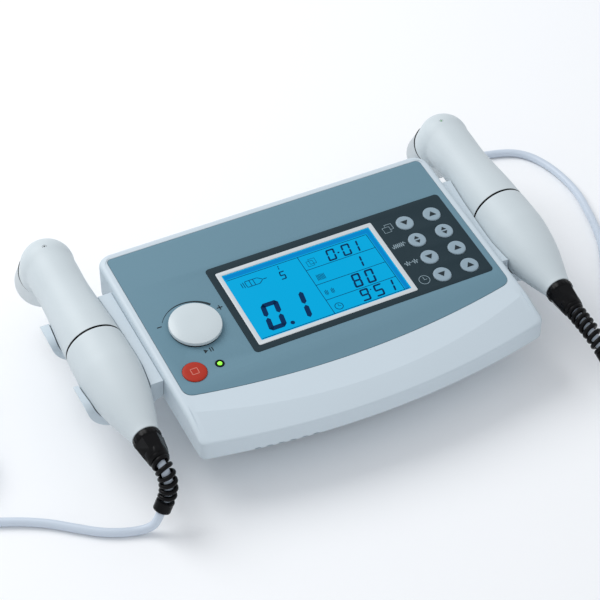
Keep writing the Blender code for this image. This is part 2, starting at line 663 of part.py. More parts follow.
def make_holder(side, seam):
    """Cradle on the case's side wall: a trough under the handle with two arms on its outer side.

    The section is drawn for the left cradle, in the handle's own cross plane, with the wall at
    +X.  It starts inside the wall and is cut off square along it.
    """
    name, sign = f"{side}_holder", 1 if side == "right" else -1
    wall = abs(SEAM_X[side]) - CASE_HALF_WIDTH + 2 * MM
    lip = degrees(asin(LIP_HEIGHT / BORE_RADIUS))
    section = [(wall, LIP_HEIGHT), (wall, -10.5 * MM)]
    section += arc(CRADLE_RADIUS, -42, ARM_END, 12)
    section += arc(BORE_RADIUS, ARM_END, lip, 17)
    section = [(-sign * x, z) for x, z in section]
    mesh = plate_mesh(name, [section], CRADLE_FRONT, CRADLE_REAR)
    # the section's own Z becomes the handle's direction
    mesh.transform(Matrix(((1, 0, 0, 0), (0, 0, 1, 0), (0, 1, 0, 0), (0, 0, 0, 1))))
    flip_if_inside_out(mesh)
    holder = add_object(name, mesh, "white_case", seam)
    low, high = sorted((sign * 11 * MM, sign * 32 * MM))
    gap = box_mesh(name + "_gap", (low, ARM_GAP[0], -40 * MM), (high, ARM_GAP[1], 10 * MM))
    boolean(holder, add_object(name + "_gap", gap, parent=seam))
    low, high = sorted((sign * 100 * MM, sign * (CASE_HALF_WIDTH + GAP)))
    wall_side = box_mesh(name + "_wall", (low, -80 * MM, 20 * MM), (high, 80 * MM, 90 * MM))
    boolean(holder, add_object(name + "_wall", wall_side))
    return smooth(holder, 25)


def flip_if_inside_out(mesh):
    bm = bmesh.new()
    bm.from_mesh(mesh)
    bmesh.ops.recalc_face_normals(bm, faces=bm.faces)
    bm.to_mesh(mesh)
    bm.free()


# === applicators ===========================================================================

HANDLE_STATIONS = ((-4.55, 20.8), (-10, 21.1), (-25, 21.5), (-35, 21.4), (-50, 19.6), (-62, 17.2),
                   (-75, 13.6), (-85, 10.6), (-89, 9.7))
NECK_STATIONS = ((-4.25, 20.8), (12, 20.2), (25, 19.2), (38, 18.3), (50, 17.9), (65, 18.3), (82.5, 18.8))


def stations_mm(stations, shrink=0.0):
    return [(y * MM, (radius - shrink) * MM) for y, radius in stations]


def make_handle(side, seam):
    name = f"{side}_handle_shell"
    shell = add_object(name, handle_mesh(name, stations_mm(HANDLE_STATIONS)), "white_applicator", seam)
    inner = [(1, 18.0), *[(y, radius - 2.5) for y, radius in HANDLE_STATIONS[1:7]], (-82, 8.8)]
    hollow = handle_mesh(name + "_hollow", stations_mm(inner))
    boolean(shell, add_object(name + "_hollow", hollow, parent=seam))
    hole = cylinder_mesh(name + "_hole", 6.3 * MM, -95 * MM, -80 * MM, 16)
    boolean(shell, add_object(name + "_hole", hole, parent=seam, turn=(radians(-90), 0, 0)))
    return smooth(shell)


def head_profile(grow, depth):
    """Domed cylinder round the head's axis, which runs from the dome's top down to the face."""
    radius = HEAD_RADIUS + grow
    profile = [(0, radius)]
    for angle in (70, 50, 30, 12):
        profile.append((radius * cos(radians(angle)), radius * sin(radians(angle))))
    return profile + [(RING_RADIUS + grow, -depth), (0, -depth)]


def make_head(side, seam):
    """Front half of the case: the neck runs into a domed head that holds the treatment face."""
    head = dict(parent=seam, place=(0, HEAD_ALONG, 0), turn=(HEAD_TILT, 0, 0))
    name = f"{side}_head_housing"
    housing = add_object(name, handle_mesh(name, stations_mm(NECK_STATIONS)), "white_applicator", seam)
    end = RING_DEPTH - GAP
    below = cylinder_mesh(name + "_below", 32 * MM, -60 * MM, -end, 24)
    boolean(housing, add_object(name + "_below", below, **head))
    boolean(housing, turned(name + "_dome", head_profile(0, end), **head), "UNION")
    inner = [(-5.5, 18.0), *[(y, radius - 2.5) for y, radius in NECK_STATIONS[1:]]]
    hollow = handle_mesh(name + "_hollow", stations_mm(inner))
    boolean(housing, add_object(name + "_hollow", hollow, parent=seam))
    boolean(housing, turned(name + "_bowl", head_profile(-2.5 * MM, end + 4 * MM), **head))
    top = dict(parent=seam, place=(0, HEAD_ALONG, 0), turn=(0, LIGHT_ROLL[side], 0))
    light = cylinder_mesh(name + "_light", 1.9 * MM, 10 * MM, 24 * MM, 12)
    boolean(housing, add_object(name + "_light", light, **top))
    led = [(0, 19.7), (0.9, 19.6), (1.5, 19.2), (1.5, 12), (0, 12)]
    turned(f"{side}_head_led", [(radius * MM, z * MM) for radius, z in led], "led_green", steps=12, **top)
    ring = [(18.9, -RING_DEPTH / MM), (18.9, -RING_DEPTH / MM - 1.2), (15.8, -RING_DEPTH / MM - 1.2),
            (15.8, -RING_DEPTH / MM)]
    turned(f"{side}_isolation_ring", [(radius * MM, z * MM) for radius, z in ring], "black_rubber", **head)
    top, face = -RING_DEPTH / MM - 1.5, -FACE_DEPTH / MM
    cup = [(18.7, top), (19.7, face + 1.2), (19.2, face + 0.3), (18.6, face), (0, face), (0, face + 2.5),
           (15.5, face + 2.5), (15.5, top)]
    smooth(turned(f"{side}_sound_head", [(radius * MM, z * MM) for radius, z in cup], "aluminium", **head))
    crystal = [(0, face + 4.8), (14.8, face + 4.8), (14.8, face + 2.8), (0, face + 2.8)]
    turned(f"{side}_crystal", [(radius * MM, z * MM) for radius, z in crystal], "ceramic", **head)
    return smooth(housing)


def make_gland(side, seam):
    """Cable gland: a round collar against the tail, a hexagonal dome nut and a thread inside."""
    name = f"{side}_cable_gland"
    profile = [(6.0, -80.5), (6.0, -89.3), (9.2, -89.3), (9.6, -90.5), (9.6, -94), (8.8, -95.5),
               (7.6, -109), (0, -109)]
    points = [(0, -80.5 * MM)] + [(radius * MM, z * MM) for radius, z in profile]
    across_corners = 17.5 * MM / cos(pi / 6) / 2
    gland = turned(name, points, "black_plastic", steps=20, parent=seam, turn=(radians(-90), 0, 0))
    nut = cylinder_mesh(name + "_nut", 8.4 * MM, -108 * MM, -95 * MM, 6, top_radius=across_corners)
    boolean(gland, add_object(name + "_nut", nut, parent=seam, turn=(radians(-90), 0, 0)), "UNION")
    return smooth(gland)


def relief_end(side):
    """Where the spiral bend relief ends and which way the lead leaves it."""
    if side == "left":
        return Vector((-167.5, -120.0, 18.0)) * MM, Vector((-0.5, -0.15, -0.85)).normalized()
    return Vector((158.2, -147.0, 33.5)) * MM, Vector((0.15, -0.80, -0.58)).normalized()


def make_relief(side, seam):
    """Spiral bend relief as its outer shape: it tapers, droops and ends in a ferrule."""
    turn = Matrix.Rotation(YAW[side], 3, "Z") @ Matrix.Rotation(HANDLE_TILT, 3, "X")
    forward = turn @ Vector((0, -1, 0))
    start = Vector(seam.location) + forward * (GLAND_END + GAP)
    end, heading = relief_end(side)
    inlet, outlet = start + forward * 2 * MM, end - heading * FERRULE
    reach = (outlet - inlet).length * 0.42
    controls = (inlet, inlet + forward * reach, outlet - heading * reach, outlet)
    points, radii = [start], [7.6 * MM]
    for step in range(13):
        t = step / 12
        weights = ((1 - t) ** 3, 3 * t * (1 - t) ** 2, 3 * t * t * (1 - t), t ** 3)
        points.append(sum((c * w for c, w in zip(controls, weights)), Vector()))
        radii.append((7.6 - 1.5 * t) * MM)
    points.append(end)
    radii.append(6.1 * MM)
    return tube(f"{side}_bend_relief", points, "black_plastic", radii, radius=6 * MM, resolution=3)


def make_applicator(side, seam):
    make_handle(side, seam)
    make_head(side, seam)
    make_gland(side, seam)
    make_relief(side, seam)


# === leads =================================================================================

LEFT_ROUTE = (
    # from the bend relief down to the table, out to the left and past the side of the coil
    (-172.6, -120.2, 8.2), (-178.5, -118.4, 4.4), (-186.5, -115.6, 3.1), (-194.3, -112.6, 3.1),
    (-205.7, -106.3, 3.1), (-218.9, -95.7, 3.1), (-232.0, -84.9, 3.1), (-245.9, -76.0, 3.1),
    (-261.0, -68.4, 3.1), (-278.0, -60.0, 3.1), (-294.0, -51.8, 3.1), (-304.0, -46.5, 3.1),
)
RIGHT_FRONT_ROUTE = (
    (161.5, -158.8, 24.0), (167.0, -168.5, 14.5), (177.5, -176.0, 6.4), (191.0, -175.5, 3.4),
    (203.5, -164.5, 3.1), (210.5, -147.0, 3.1), (212.5, -124.0, 3.1), (212.0, -98.0, 3.1),
)
RIGHT_REAR_ROUTE = (
    # out of the coil, back along the table behind the right applicator and up to its socket
    (218.1, -66.1, 3.1), (232.0, -38.5, 3.1), (247.8, -7.5, 3.1), (257.4, 22.2, 3.1), (263.6, 53.2, 3.1),
    (261.2, 86.7, 3.1), (249.6, 110.4, 3.1), (225.6, 121.2, 3.1), (190.0, 124.5, 3.1), (150.0, 126.5, 3.1),
    (115.0, 128.0, 3.3), (94.0, 128.5, 6.5), (80.5, 123.5, 14.0), (75.6, 114.5, 21.0), (75.0, 107.2, 23.0),
)


def make_lead(name, route, side=None, plug_end=None):
    """Lead along the route, out of the side's bend relief or straight into a plug's sleeve."""
    points, first, last = [Vector(point) * MM for point in route], [], []
    if side:
        end, heading = relief_end(side)
        first = [end + heading * GAP]
        points.insert(0, end + heading * 3 * MM)
    if plug_end:
        last = [plug_end]
    return tube(name, first + smooth_route(points, 2.5 * 2 * LEAD_RADIUS) + last, "lead_grey")


def make_coil(name, centre):
    """Outer shape of a round coil of lead lying on the table, three turns wide and two high."""
    half_width, height = 9.2 * MM, 12.3 * MM
    low, high = COIL_RADIUS - half_width, COIL_RADIUS + half_width
    edge = 2.5 * MM
    profile = [(high - edge, height), (high, height - edge), (high, edge), (high - edge, 0.1 * MM),
               (low + edge, 0.1 * MM), (low, edge), (low, height - edge), (low + edge, height)]
    return smooth(turned(name, profile, "lead_grey", steps=24, place=centre))


def make_plug(name, place, turn):
    """Round locking plug: nose, knurled body and a tapered sleeve that the lead runs into."""
    profile = [(0, 7.5), (4.4, 7.5), (4.6, 7.0), (4.6, 0), (7.6, 0), (8.0, -1), (8.0, -14), (7.0, -16),
               (6.5, -22), (4.4, -PLUG_SLEEVE / MM), (0, -PLUG_SLEEVE / MM)]
    points = [(radius * MM, z * MM) for radius, z in profile]
    return smooth(turned(name, points, "black_plastic", steps=20, place=place, turn=turn))


def make_leads():
    make_lead("left_lead", LEFT_ROUTE, "left")
    make_coil("left_lead_coil", LEFT_COIL)
    make_lead("right_lead_front", RIGHT_FRONT_ROUTE, "right")
    make_coil("right_lead_coil", RIGHT_COIL)
    sleeve_end = Vector((RIGHT_SOCKET_X, REAR_FACE + 2.3 * MM + PLUG_SLEEVE + GAP, SOCKET_Z))
    make_lead("right_lead_rear", RIGHT_REAR_ROUTE, plug_end=sleeve_end)
    make_plug("right_plug", (RIGHT_SOCKET_X, REAR_FACE + 2.3 * MM, SOCKET_Z), (radians(90), 0, 0))
    make_plug("left_plug", LEFT_PLUG, LEFT_PLUG_TURN)


def main():
    panel = add_empty("panel_frame", PANEL_REAR, (PANEL_TILT, 0, 0))
    make_upper_housing(panel)
    make_lower_housing()
    make_panel(panel)
    make_display_module(panel)
    make_keys(panel)
    make_knob(panel)
    make_status_led(panel)
    make_boards(panel)
    make_power_stage()
    make_rear_fittings()
    make_feet()
    for side in ("left", "right"):
        seam = add_empty(f"{side}_applicator_frame", (SEAM_X[side], SEAM_Y, SEAM_Z),
                         (HANDLE_TILT, 0, YAW[side]))
        make_holder(side, seam)
        make_applicator(side, seam)
    make_leads()


clear_scene()
PARTS = new_collection("ultrasound_therapy_device")
CUTTERS = new_collection("cutters", hidden=True)
main()
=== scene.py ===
"""Visual model of a two-channel ultrasound therapy console with its two applicators.

Everything is in metres in the CAD frame: +Z up, the control panel facing -Y, the origin on the
table under the middle of the device.  Sizes are in millimetres until a mesh or a matrix is made
of them.  Panel pieces are drawn in the panel's own frame (x across, y up the panel, z out of it).
"""

from math import asin, ceil, cos, degrees, pi, radians, sin, tan

import bmesh
import bpy
from mathutils import Matrix, Vector


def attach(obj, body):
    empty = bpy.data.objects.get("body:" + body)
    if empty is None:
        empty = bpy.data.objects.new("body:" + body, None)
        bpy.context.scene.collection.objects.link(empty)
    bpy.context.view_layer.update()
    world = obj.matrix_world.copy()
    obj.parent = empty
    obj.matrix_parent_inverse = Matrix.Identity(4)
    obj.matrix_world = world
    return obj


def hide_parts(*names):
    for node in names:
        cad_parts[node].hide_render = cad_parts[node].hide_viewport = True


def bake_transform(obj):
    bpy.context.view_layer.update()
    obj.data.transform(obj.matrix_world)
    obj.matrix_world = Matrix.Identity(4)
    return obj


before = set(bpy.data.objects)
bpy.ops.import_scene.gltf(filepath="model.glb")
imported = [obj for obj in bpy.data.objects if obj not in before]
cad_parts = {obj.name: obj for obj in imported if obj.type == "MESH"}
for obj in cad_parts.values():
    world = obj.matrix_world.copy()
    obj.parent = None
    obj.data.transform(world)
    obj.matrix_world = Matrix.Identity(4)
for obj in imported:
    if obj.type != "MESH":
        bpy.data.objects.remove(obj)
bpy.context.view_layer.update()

MM = 0.001
INWARD = Matrix.Rotation(radians(90), 4, "X")        # turns Z to -Y, into the rear wall
OUTWARD = Matrix.Rotation(radians(-90), 4, "X")      # turns Z to +Y, out of it and along a handle

# --- the CAD model's own frames and sizes ----------------------------------------------------
PANEL_TILT = radians(7.2)
PANEL_REAR = Vector((0.0, 62.7, 74.0))
PANEL = Matrix.Translation(PANEL_REAR * MM) @ Matrix.Rotation(PANEL_TILT, 4, "X")
SEAM_X, SEAM_Y, SEAM_Z = {"left": -160.5, "right": 158.4}, 5.2, 58.4
HANDLE_TILT = radians(5.7)
YAW = {"left": 0.0, "right": radians(-1.5)}
LIGHT_ROLL = {"left": radians(-3), "right": radians(-11)}
SEAM_ALONG = -4.4               # where the two halves of the applicator meet
HEAD_ALONG, HEAD_TILT = 81.4, radians(24.0)
CASE_HALF_WIDTH, SHOULDER = 131.2, 3.6
CASE_REAR, CASE_FRONT, CASE_SAG = 68.9, -121.3, 16.5
PLATE_FRONT, PLATE_SAG = -105.8, 22.7
OVERLAY_HALF_WIDTH, OVERLAY_REAR, OVERLAY_FRONT, OVERLAY_SAG = 125.0, 62.7, -82.9, 13.1
SLOPE = radians(20.7)
BAND_REAR_Z, BAND_TILT, BAND_SAG = 49.7, radians(4.85), 2.5
BASE_Z, BASE_SIDE_INSET, BASE_FRONT_INSET = 6.0, 25.0, 29.0
WALL = 2.5
REAR_FACE = 68.1
SOCKET_Z = 23.0
LEFT_SOCKET_X, RIGHT_SOCKET_X, INLET_X, SWITCH_X = 20.0, 75.0, -95.0, -62.0
SCREW_X, SCREW_Z = 112, 40
FOOT_X, FOOT_FRONT_Y, FOOT_REAR_Y = 80, -68, 48
ROCKER_TILT = radians(8)
KEY_COLUMNS = (84.4, 106.6)
KEY_FIRST_ROW, KEY_PITCH, KEY_RADIUS = -52.9, 18.13, 6.55
STOP_PLACE, STOP_RADIUS = (-110.9, -116.3), 8.5
KNOB_PLACE, KNOB_RADIUS = (-93.8, -80.2), 18.5
LED_PLACE = (-92.5, -116.3)
BEZEL_BOX = (-66.5, -118.2, 120.4, -36.2)
FRAME_BOX, FRAME_BORDER = (-61.4, -113.2, 61.8, -42.5), 3.4
POCKET_FLOOR, OVERLAY_TOP, BEZEL_TOP = -0.9, -0.1, 0.1
LEAD_RADIUS = 3.0
LEFT_COIL, RIGHT_COIL = Vector((-288.0, -4.0, 0.0)), Vector((256.0, -88.0, 0.0))
LEFT_PLUG = Vector((-241.0, 46.0, 8.2))


# === materials ==============================================================================

def srgb(r, g, b):
    """An 8-bit screen colour as linear values."""
    return tuple(((c / 255 + 0.055) / 1.055) ** 2.4 if c > 10 else c / 255 / 12.92 for c in (r, g, b))


def material(name, colour, roughness=0.4, metallic=0.0, mottle=0.04, mottle_scale=60.0,
             grain=0.0, grain_scale=2500.0, rough_spread=0.06, coat=0.0, coat_roughness=0.1,
             specular=0.5, glow=None, glow_strength=0.0, rings=None):
    """Moulded or metal surface: two close tones, uneven roughness and a fine grain."""
    made = bpy.data.materials.new(name)
    made.use_nodes = True
    nodes, links = made.node_tree.nodes, made.node_tree.links
    shader = nodes["Principled BSDF"]
    shader.inputs["Metallic"].default_value = metallic
    shader.inputs["Coat Weight"].default_value = coat
    shader.inputs["Coat Roughness"].default_value = coat_roughness
    shader.inputs["Specular IOR Level"].default_value = specular
    place = nodes.new("ShaderNodeTexCoord").outputs["Object"]

    def noise(scale, detail=3.0):
        node = nodes.new("ShaderNodeTexNoise")
        node.inputs["Scale"].default_value = scale
        node.inputs["Detail"].default_value = detail
        links.new(place, node.inputs["Vector"])
        return node.outputs["Fac"]

    blotches = noise(mottle_scale)
    tones = nodes.new("ShaderNodeMix")
    tones.data_type = "RGBA"
    dark = tuple(c * (1 - mottle) for c in colour)
    light = tuple(min(1.0, c * (1 + mottle)) for c in colour)
    tones.inputs["A"].default_value = (*dark, 1)
    tones.inputs["B"].default_value = (*light, 1)
    links.new(blotches, tones.inputs["Factor"])
    links.new(tones.outputs["Result"], shader.inputs["Base Color"])
    spread = nodes.new("ShaderNodeMapRange")
    spread.inputs["To Min"].default_value = max(0.02, roughness - rough_spread)
    spread.inputs["To Max"].default_value = min(1.0, roughness + rough_spread)
    links.new(noise(mottle_scale * 4), spread.inputs["Value"])
    links.new(spread.outputs["Result"], shader.inputs["Roughness"])
    normal = None
    if grain:
        bump = nodes.new("ShaderNodeBump")
        bump.inputs["Strength"].default_value = grain
        bump.inputs["Distance"].default_value = 0.0001
        links.new(noise(grain_scale, 2.0), bump.inputs["Height"])
        normal = bump
    if rings:
        wave = nodes.new("ShaderNodeTexWave")
        wave.wave_type, wave.rings_direction = "RINGS", "Z"
        wave.inputs["Scale"].default_value = rings
        wave.inputs["Distortion"].default_value = 0.4
        links.new(place, wave.inputs["Vector"])
        turning = nodes.new("ShaderNodeBump")
        turning.inputs["Strength"].default_value = 0.25
        turning.inputs["Distance"].default_value = 0.00005
        links.new(wave.outputs["Fac"], turning.inputs["Height"])
        if normal:
            links.new(normal.outputs["Normal"], turning.inputs["Normal"])
        normal = turning
    if normal:
        links.new(normal.outputs["Normal"], shader.inputs["Normal"])
    if glow:
        shader.inputs["Emission Color"].default_value = (*glow, 1)
        shader.inputs["Emission Strength"].default_value = glow_strength
    return made


CASE = material("case_white", (0.575, 0.655, 0.71), 0.46, grain=0.35, grain_scale=2200, mottle=0.012,
                mottle_scale=25)
APPLICATOR = material("applicator_white", (0.575, 0.635, 0.66), 0.5, grain=0.12, grain_scale=1500,
                      mottle=0.012, mottle_scale=30)
OVERLAY = material("overlay_film", srgb(106, 139, 154), 0.55, grain=0.5, grain_scale=4200, mottle=0.02,
                   mottle_scale=18, specular=0.15)
SLATE = material("bezel_film", srgb(41, 56, 63), 0.55, grain=0.5, grain_scale=4200, mottle=0.05,
                 mottle_scale=40, specular=0.08)
SILVER = material("window_frame", srgb(205, 211, 214), 0.36, metallic=0.15, grain=0.15,
                  grain_scale=3000, mottle=0.02)
SCREEN = material("lit_display", (0.0, 0.10, 0.18), 0.45, mottle=0.05, mottle_scale=35, specular=0.04,
                  glow=(0.0, 0.285, 0.535), glow_strength=1.0)
SCREEN_EDGE = material("display_edge", (0.0, 0.05, 0.15), 0.45, mottle=0.06, mottle_scale=60,
                       specular=0.04, glow=(0.0, 0.18, 0.44), glow_strength=1.0)
SEGMENT = material("display_segment", (0.001, 0.028, 0.10), 0.5, mottle=0.08, mottle_scale=90,
                   specular=0.05)
KEY = material("key_grey", srgb(143, 163, 175), 0.52, specular=0.3, grain=0.35, grain_scale=3500,
               mottle=0.03, mottle_scale=80)
PRINT_DARK = material("dark_print", srgb(33, 44, 50), 0.5, specular=0.2, mottle=0.06, mottle_scale=90,
                      grain=0.2)
PRINT_LIGHT = material("light_print", srgb(148, 168, 178), 0.5, mottle=0.04, mottle_scale=90, grain=0.2)
PRINT_WHITE = material("white_print", srgb(228, 214, 208), 0.5, mottle=0.03, mottle_scale=90, grain=0.2)
PRINT_RED = material("key_print", srgb(205, 120, 105), 0.5, mottle=0.03, mottle_scale=90, grain=0.2)
RED = material("stop_red", srgb(172, 44, 24), 0.5, grain=0.3, grain_scale=3500, mottle=0.04,
               mottle_scale=70, specular=0.25)
KNOB = material("knob_white", (0.575, 0.64, 0.665), 0.32, grain=0.05, grain_scale=900, mottle=0.01,
                mottle_scale=50, coat=0.15, coat_roughness=0.15)
BLACK = material("black_plastic", srgb(9, 10, 12), 0.45, grain=0.3, grain_scale=2600, mottle=0.12,
                 mottle_scale=120, specular=0.1)
GLOSS_BLACK = material("black_spring_coat", srgb(6, 6, 8), 0.24, grain=0.08, grain_scale=1500,
                       mottle=0.15, mottle_scale=150, specular=0.14)
RUBBER = material("black_rubber", srgb(28, 28, 29), 0.75, grain=0.6, grain_scale=1800, mottle=0.15,
                  mottle_scale=100)
GREEN_LIT = material("green_led_lit", srgb(120, 200, 60), 0.15, mottle=0.05, coat=0.5,
                     glow=srgb(120, 235, 40), glow_strength=1.4)
GREEN_OFF = material("green_led_off", srgb(10, 16, 12), 0.5, mottle=0.08, specular=0.05)
GREEN_DIM = material("green_led_dim", srgb(30, 120, 24), 0.4, mottle=0.08, specular=0.1,
                     glow=srgb(30, 130, 24), glow_strength=0.4)
STEEL = material("plated_steel", srgb(186, 188, 190), 0.26, metallic=1.0, mottle=0.05, grain=0.1,
                 grain_scale=1800)
BRASS = material("gold_pin", srgb(214, 178, 104), 0.25, metallic=1.0, mottle=0.06, grain=0.1)
ALUMINIUM = material("turned_aluminium", srgb(196, 203, 206), 0.38, metallic=1.0, mottle=0.03,
                     grain=0.08, rings=900)
LEAD = material("lead_jacket", (0.58, 0.65, 0.74), 0.34, grain=0.2, grain_scale=1200, mottle=0.03,
                mottle_scale=40)
BOARD = material("circuit_board", srgb(24, 92, 52), 0.4, grain=0.3, grain_scale=900, mottle=0.25,
                 mottle_scale=220, coat=0.3)
CERAMIC = material("fired_ceramic", srgb(222, 208, 176), 0.62, grain=0.4, grain_scale=1600, mottle=0.06)
COPPER = material("enamelled_copper", srgb(176, 96, 52), 0.32, metallic=0.8, mottle=0.12, rings=1600)


# === mesh helpers ===========================================================================

def add(name, mesh, materials, body, matrix=None, angle=32, replaces=(), slot=None, local=False):
    """Links a finished mesh as a piece that rides on a body.

    The mesh is drawn in the given frame.  A local piece keeps it, so that its material follows it.
    """
    obj = bpy.data.objects.new(name, mesh)
    bpy.context.scene.collection.objects.link(obj)
    for surface in materials if isinstance(materials, (list, tuple)) else [materials]:
        mesh.materials.append(surface)
    if local:
        obj.matrix_world = matrix
    elif matrix is not None:
        mesh.transform(matrix)
    mesh.shade_smooth()
    mesh.set_sharp_from_angle(angle=radians(angle))
    if replaces:
        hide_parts(*replaces)
    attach(obj, body)
    return obj


def finish_bmesh(name, bm):
    bmesh.ops.remove_doubles(bm, verts=bm.verts, dist=1e-7)
    bmesh.ops.recalc_face_normals(bm, faces=bm.faces)
    mesh = bpy.data.meshes.new(name)
    bm.to_mesh(mesh)
    bm.free()
    return mesh


def lathe(name, profile, steps=64, ring=False, into=None):
    """Turns a (radius, height) profile round Z; ring closes the profile on itself."""
    bm = into or bmesh.new()
    loops = []
    for radius, height in profile:
        if radius < 1e-6:
            loops.append([bm.verts.new((0, 0, height * MM))])
        else:
            loops.append([bm.verts.new((radius * MM * cos(2 * pi * i / steps),
                                        radius * MM * sin(2 * pi * i / steps), height * MM))
                          for i in range(steps)])
    pairs = list(zip(loops, loops[1:])) + ([(loops[-1], loops[0])] if ring else [])
    for a, b in pairs:
        for i in range(steps):
            j = (i + 1) % steps
            corners = list(dict.fromkeys([a[i % len(a)], a[j % len(a)], b[j % len(b)], b[i % len(b)]]))
            if len(corners) > 2:
                bm.faces.new(corners)
    return bm if into else finish_bmesh(name, bm)


def fillet(points, radius, steps=4, closed=False):
    """Rounds the inner corners of a polyline, each with as much of the radius as its sides allow."""
    count = len(points)
    result = []
    for i, point in enumerate(points):
        if not closed and i in (0, count - 1):
            result.append(point)
            continue
        before, here, after = (Vector(points[(i + k) % count]) for k in (-1, 0, 1))
        to_before, to_after = before - here, after - here
        if to_before.angle(-to_after) < radians(25):
            result.append(point)
            continue
        reach = min(radius, to_before.length * 0.45, to_after.length * 0.45)
        if reach < 1e-4:
            result.append(point)
            continue
        start, end = here + to_before.normalized() * reach, here + to_after.normalized() * reach
        for step in range(steps + 1):
            t = step / steps
            result.append(tuple(start * (1 - t) ** 2 + here * 2 * t * (1 - t) + end * t * t))
    return result


def catmull(points, per_span):
    """Points along a smooth curve through the given ones."""
    points = [Vector(p) for p in points]
    ends = [points[0] * 2 - points[1], *points, points[-1] * 2 - points[-2]]
    dense = []
    for a, b, c, d in zip(ends, ends[1:], ends[2:], ends[3:]):
        for step in range(per_span):
            t = step / per_span
            dense.append(0.5 * (2 * b + (c - a) * t + (2 * a - 5 * b + 4 * c - d) * t * t
                                + (3 * b - a - 3 * c + d) * t ** 3))
    dense.append(points[-1])
    return dense


def even(points, spacing):
    """The same line with points every spacing along it."""
    lengths = [0.0]
    for before, after in zip(points, points[1:]):
        lengths.append(lengths[-1] + (after - before).length)
    count = max(2, ceil(lengths[-1] / spacing))
    result, place = [], 0
    for i in range(count + 1):
        target = lengths[-1] * i / count
        while place < len(points) - 2 and lengths[place + 1] < target:
            place += 1
        share = (target - lengths[place]) / max(1e-9, lengths[place + 1] - lengths[place])
        result.append(points[place].lerp(points[place + 1], min(1.0, share)))
    return result


def frames_along(points):
    """A (point, normal, binormal) triple at each point, turning as little as possible."""
    tangents = []
    for i in range(len(points)):
        tangents.append((points[min(i + 1, len(points) - 1)] - points[max(i - 1, 0)]).normalized())
    normal = tangents[0].orthogonal().normalized()
    result = []
    for point, tangent in zip(points, tangents):
        normal = (normal - tangent * normal.dot(tangent)).normalized()
        result.append((point, normal, tangent.cross(normal)))
    return result


def tube(name, points, radii, sides=16, into=None):
    """Round tube along points in millimetres, with closed ends; radii is one number or a list."""
    bm = into or bmesh.new()
    if not isinstance(radii, (list, tuple)):
        radii = [radii] * len(points)
    loops = []
    for (point, normal, binormal), radius in zip(frames_along(points), radii):
        loops.append([bm.verts.new((point + (normal * cos(2 * pi * i / sides)
                                             + binormal * sin(2 * pi * i / sides)) * radius) * MM)
                      for i in range(sides)])
    for a, b in zip(loops, loops[1:]):
        for i in range(sides):
            j = (i + 1) % sides
            bm.faces.new((a[i], a[j], b[j], b[i]))
    for loop in (loops[0], loops[-1]):
        bm.faces.new(loop)
    return bm if into else finish_bmesh(name, bm)


def loft(name, rings):
    """Closed skin through rings of points of equal count, in millimetres."""
    bm = bmesh.new()
    loops = [[bm.verts.new(Vector(p) * MM) for p in ring] for ring in rings]
    for a, b in zip(loops, loops[1:]):
        for i in range(len(a)):
            j = (i + 1) % len(a)
            bm.faces.new((a[i], a[j], b[j], b[i]))
    bm.faces.new(loops[0])
    bm.faces.new(loops[-1])
    return finish_bmesh(name, bm)


def plate(name, outlines, low, high, soften=0.0):
    """Flat plate between its outlines, inner ones being holes, with softened edges."""
    curve = bpy.data.curves.new(name, "CURVE")
    curve.dimensions, curve.fill_mode = "2D", "BOTH"
    curve.extrude = ((high - low) / 2 - soften) * MM
    curve.bevel_depth, curve.bevel_resolution, curve.offset = soften * MM, 2, -soften * MM
    for outline in outlines:
        spline = curve.splines.new("POLY")
        spline.points.add(len(outline) - 1)
        for point, (x, y) in zip(spline.points, outline):
            point.co = (x * MM, y * MM, 0, 1)
        spline.use_cyclic_u = True
    guide = bpy.data.objects.new(name + "_guide", curve)
    bpy.context.scene.collection.objects.link(guide)
    mesh = bpy.data.meshes.new_from_object(guide.evaluated_get(bpy.context.evaluated_depsgraph_get()))
    bpy.data.objects.remove(guide, do_unlink=True)
    mesh.materials.clear()
    mesh.transform(Matrix.Translation((0, 0, (low + high) / 2 * MM)))
    bm = bmesh.new()
    bm.from_mesh(mesh)
    bpy.data.meshes.remove(mesh)
    return finish_bmesh(name, bm)


def boxed(low, high, soften=0.0):
    """Box between two corners in millimetres, with softened edges."""
    bm = bmesh.new()
    low, high = Vector(low), Vector(high)
    verts = bmesh.ops.create_cube(bm, size=1.0)["verts"]
    bmesh.ops.transform(bm, verts=verts, matrix=Matrix.Translation((low + high) / 2 * MM)
                        @ Matrix.Diagonal((*((high - low) * MM), 1)))
    if soften:
        edges = list({edge for vert in verts for edge in vert.link_edges})
        bmesh.ops.bevel(bm, geom=edges, offset=soften * MM, segments=3, profile=0.5, affect="EDGES")
    return bm


def box_cutter(low, high, soften=0.0):
    """A box between two corners for cut(), with the matrix that leaves it in its place."""
    return finish_bmesh("box", boxed(low, high, soften)), Matrix.Identity(4)


def join(bm, mesh):
    """Moves a mesh's faces into the bmesh."""
    bm.from_mesh(mesh)
    bpy.data.meshes.remove(mesh)


def knurl(bm, count, low, high):
    """Adds ribs round Z to the bmesh, each a softened box like the one between two corners."""
    for i in range(count):
        rib = bpy.data.meshes.new("rib")
        box = boxed(low, high, 0.15)
        box.to_mesh(rib)
        box.free()
        rib.transform(Matrix.Rotation(2 * pi * i / count, 4, "Z"))
        join(bm, rib)


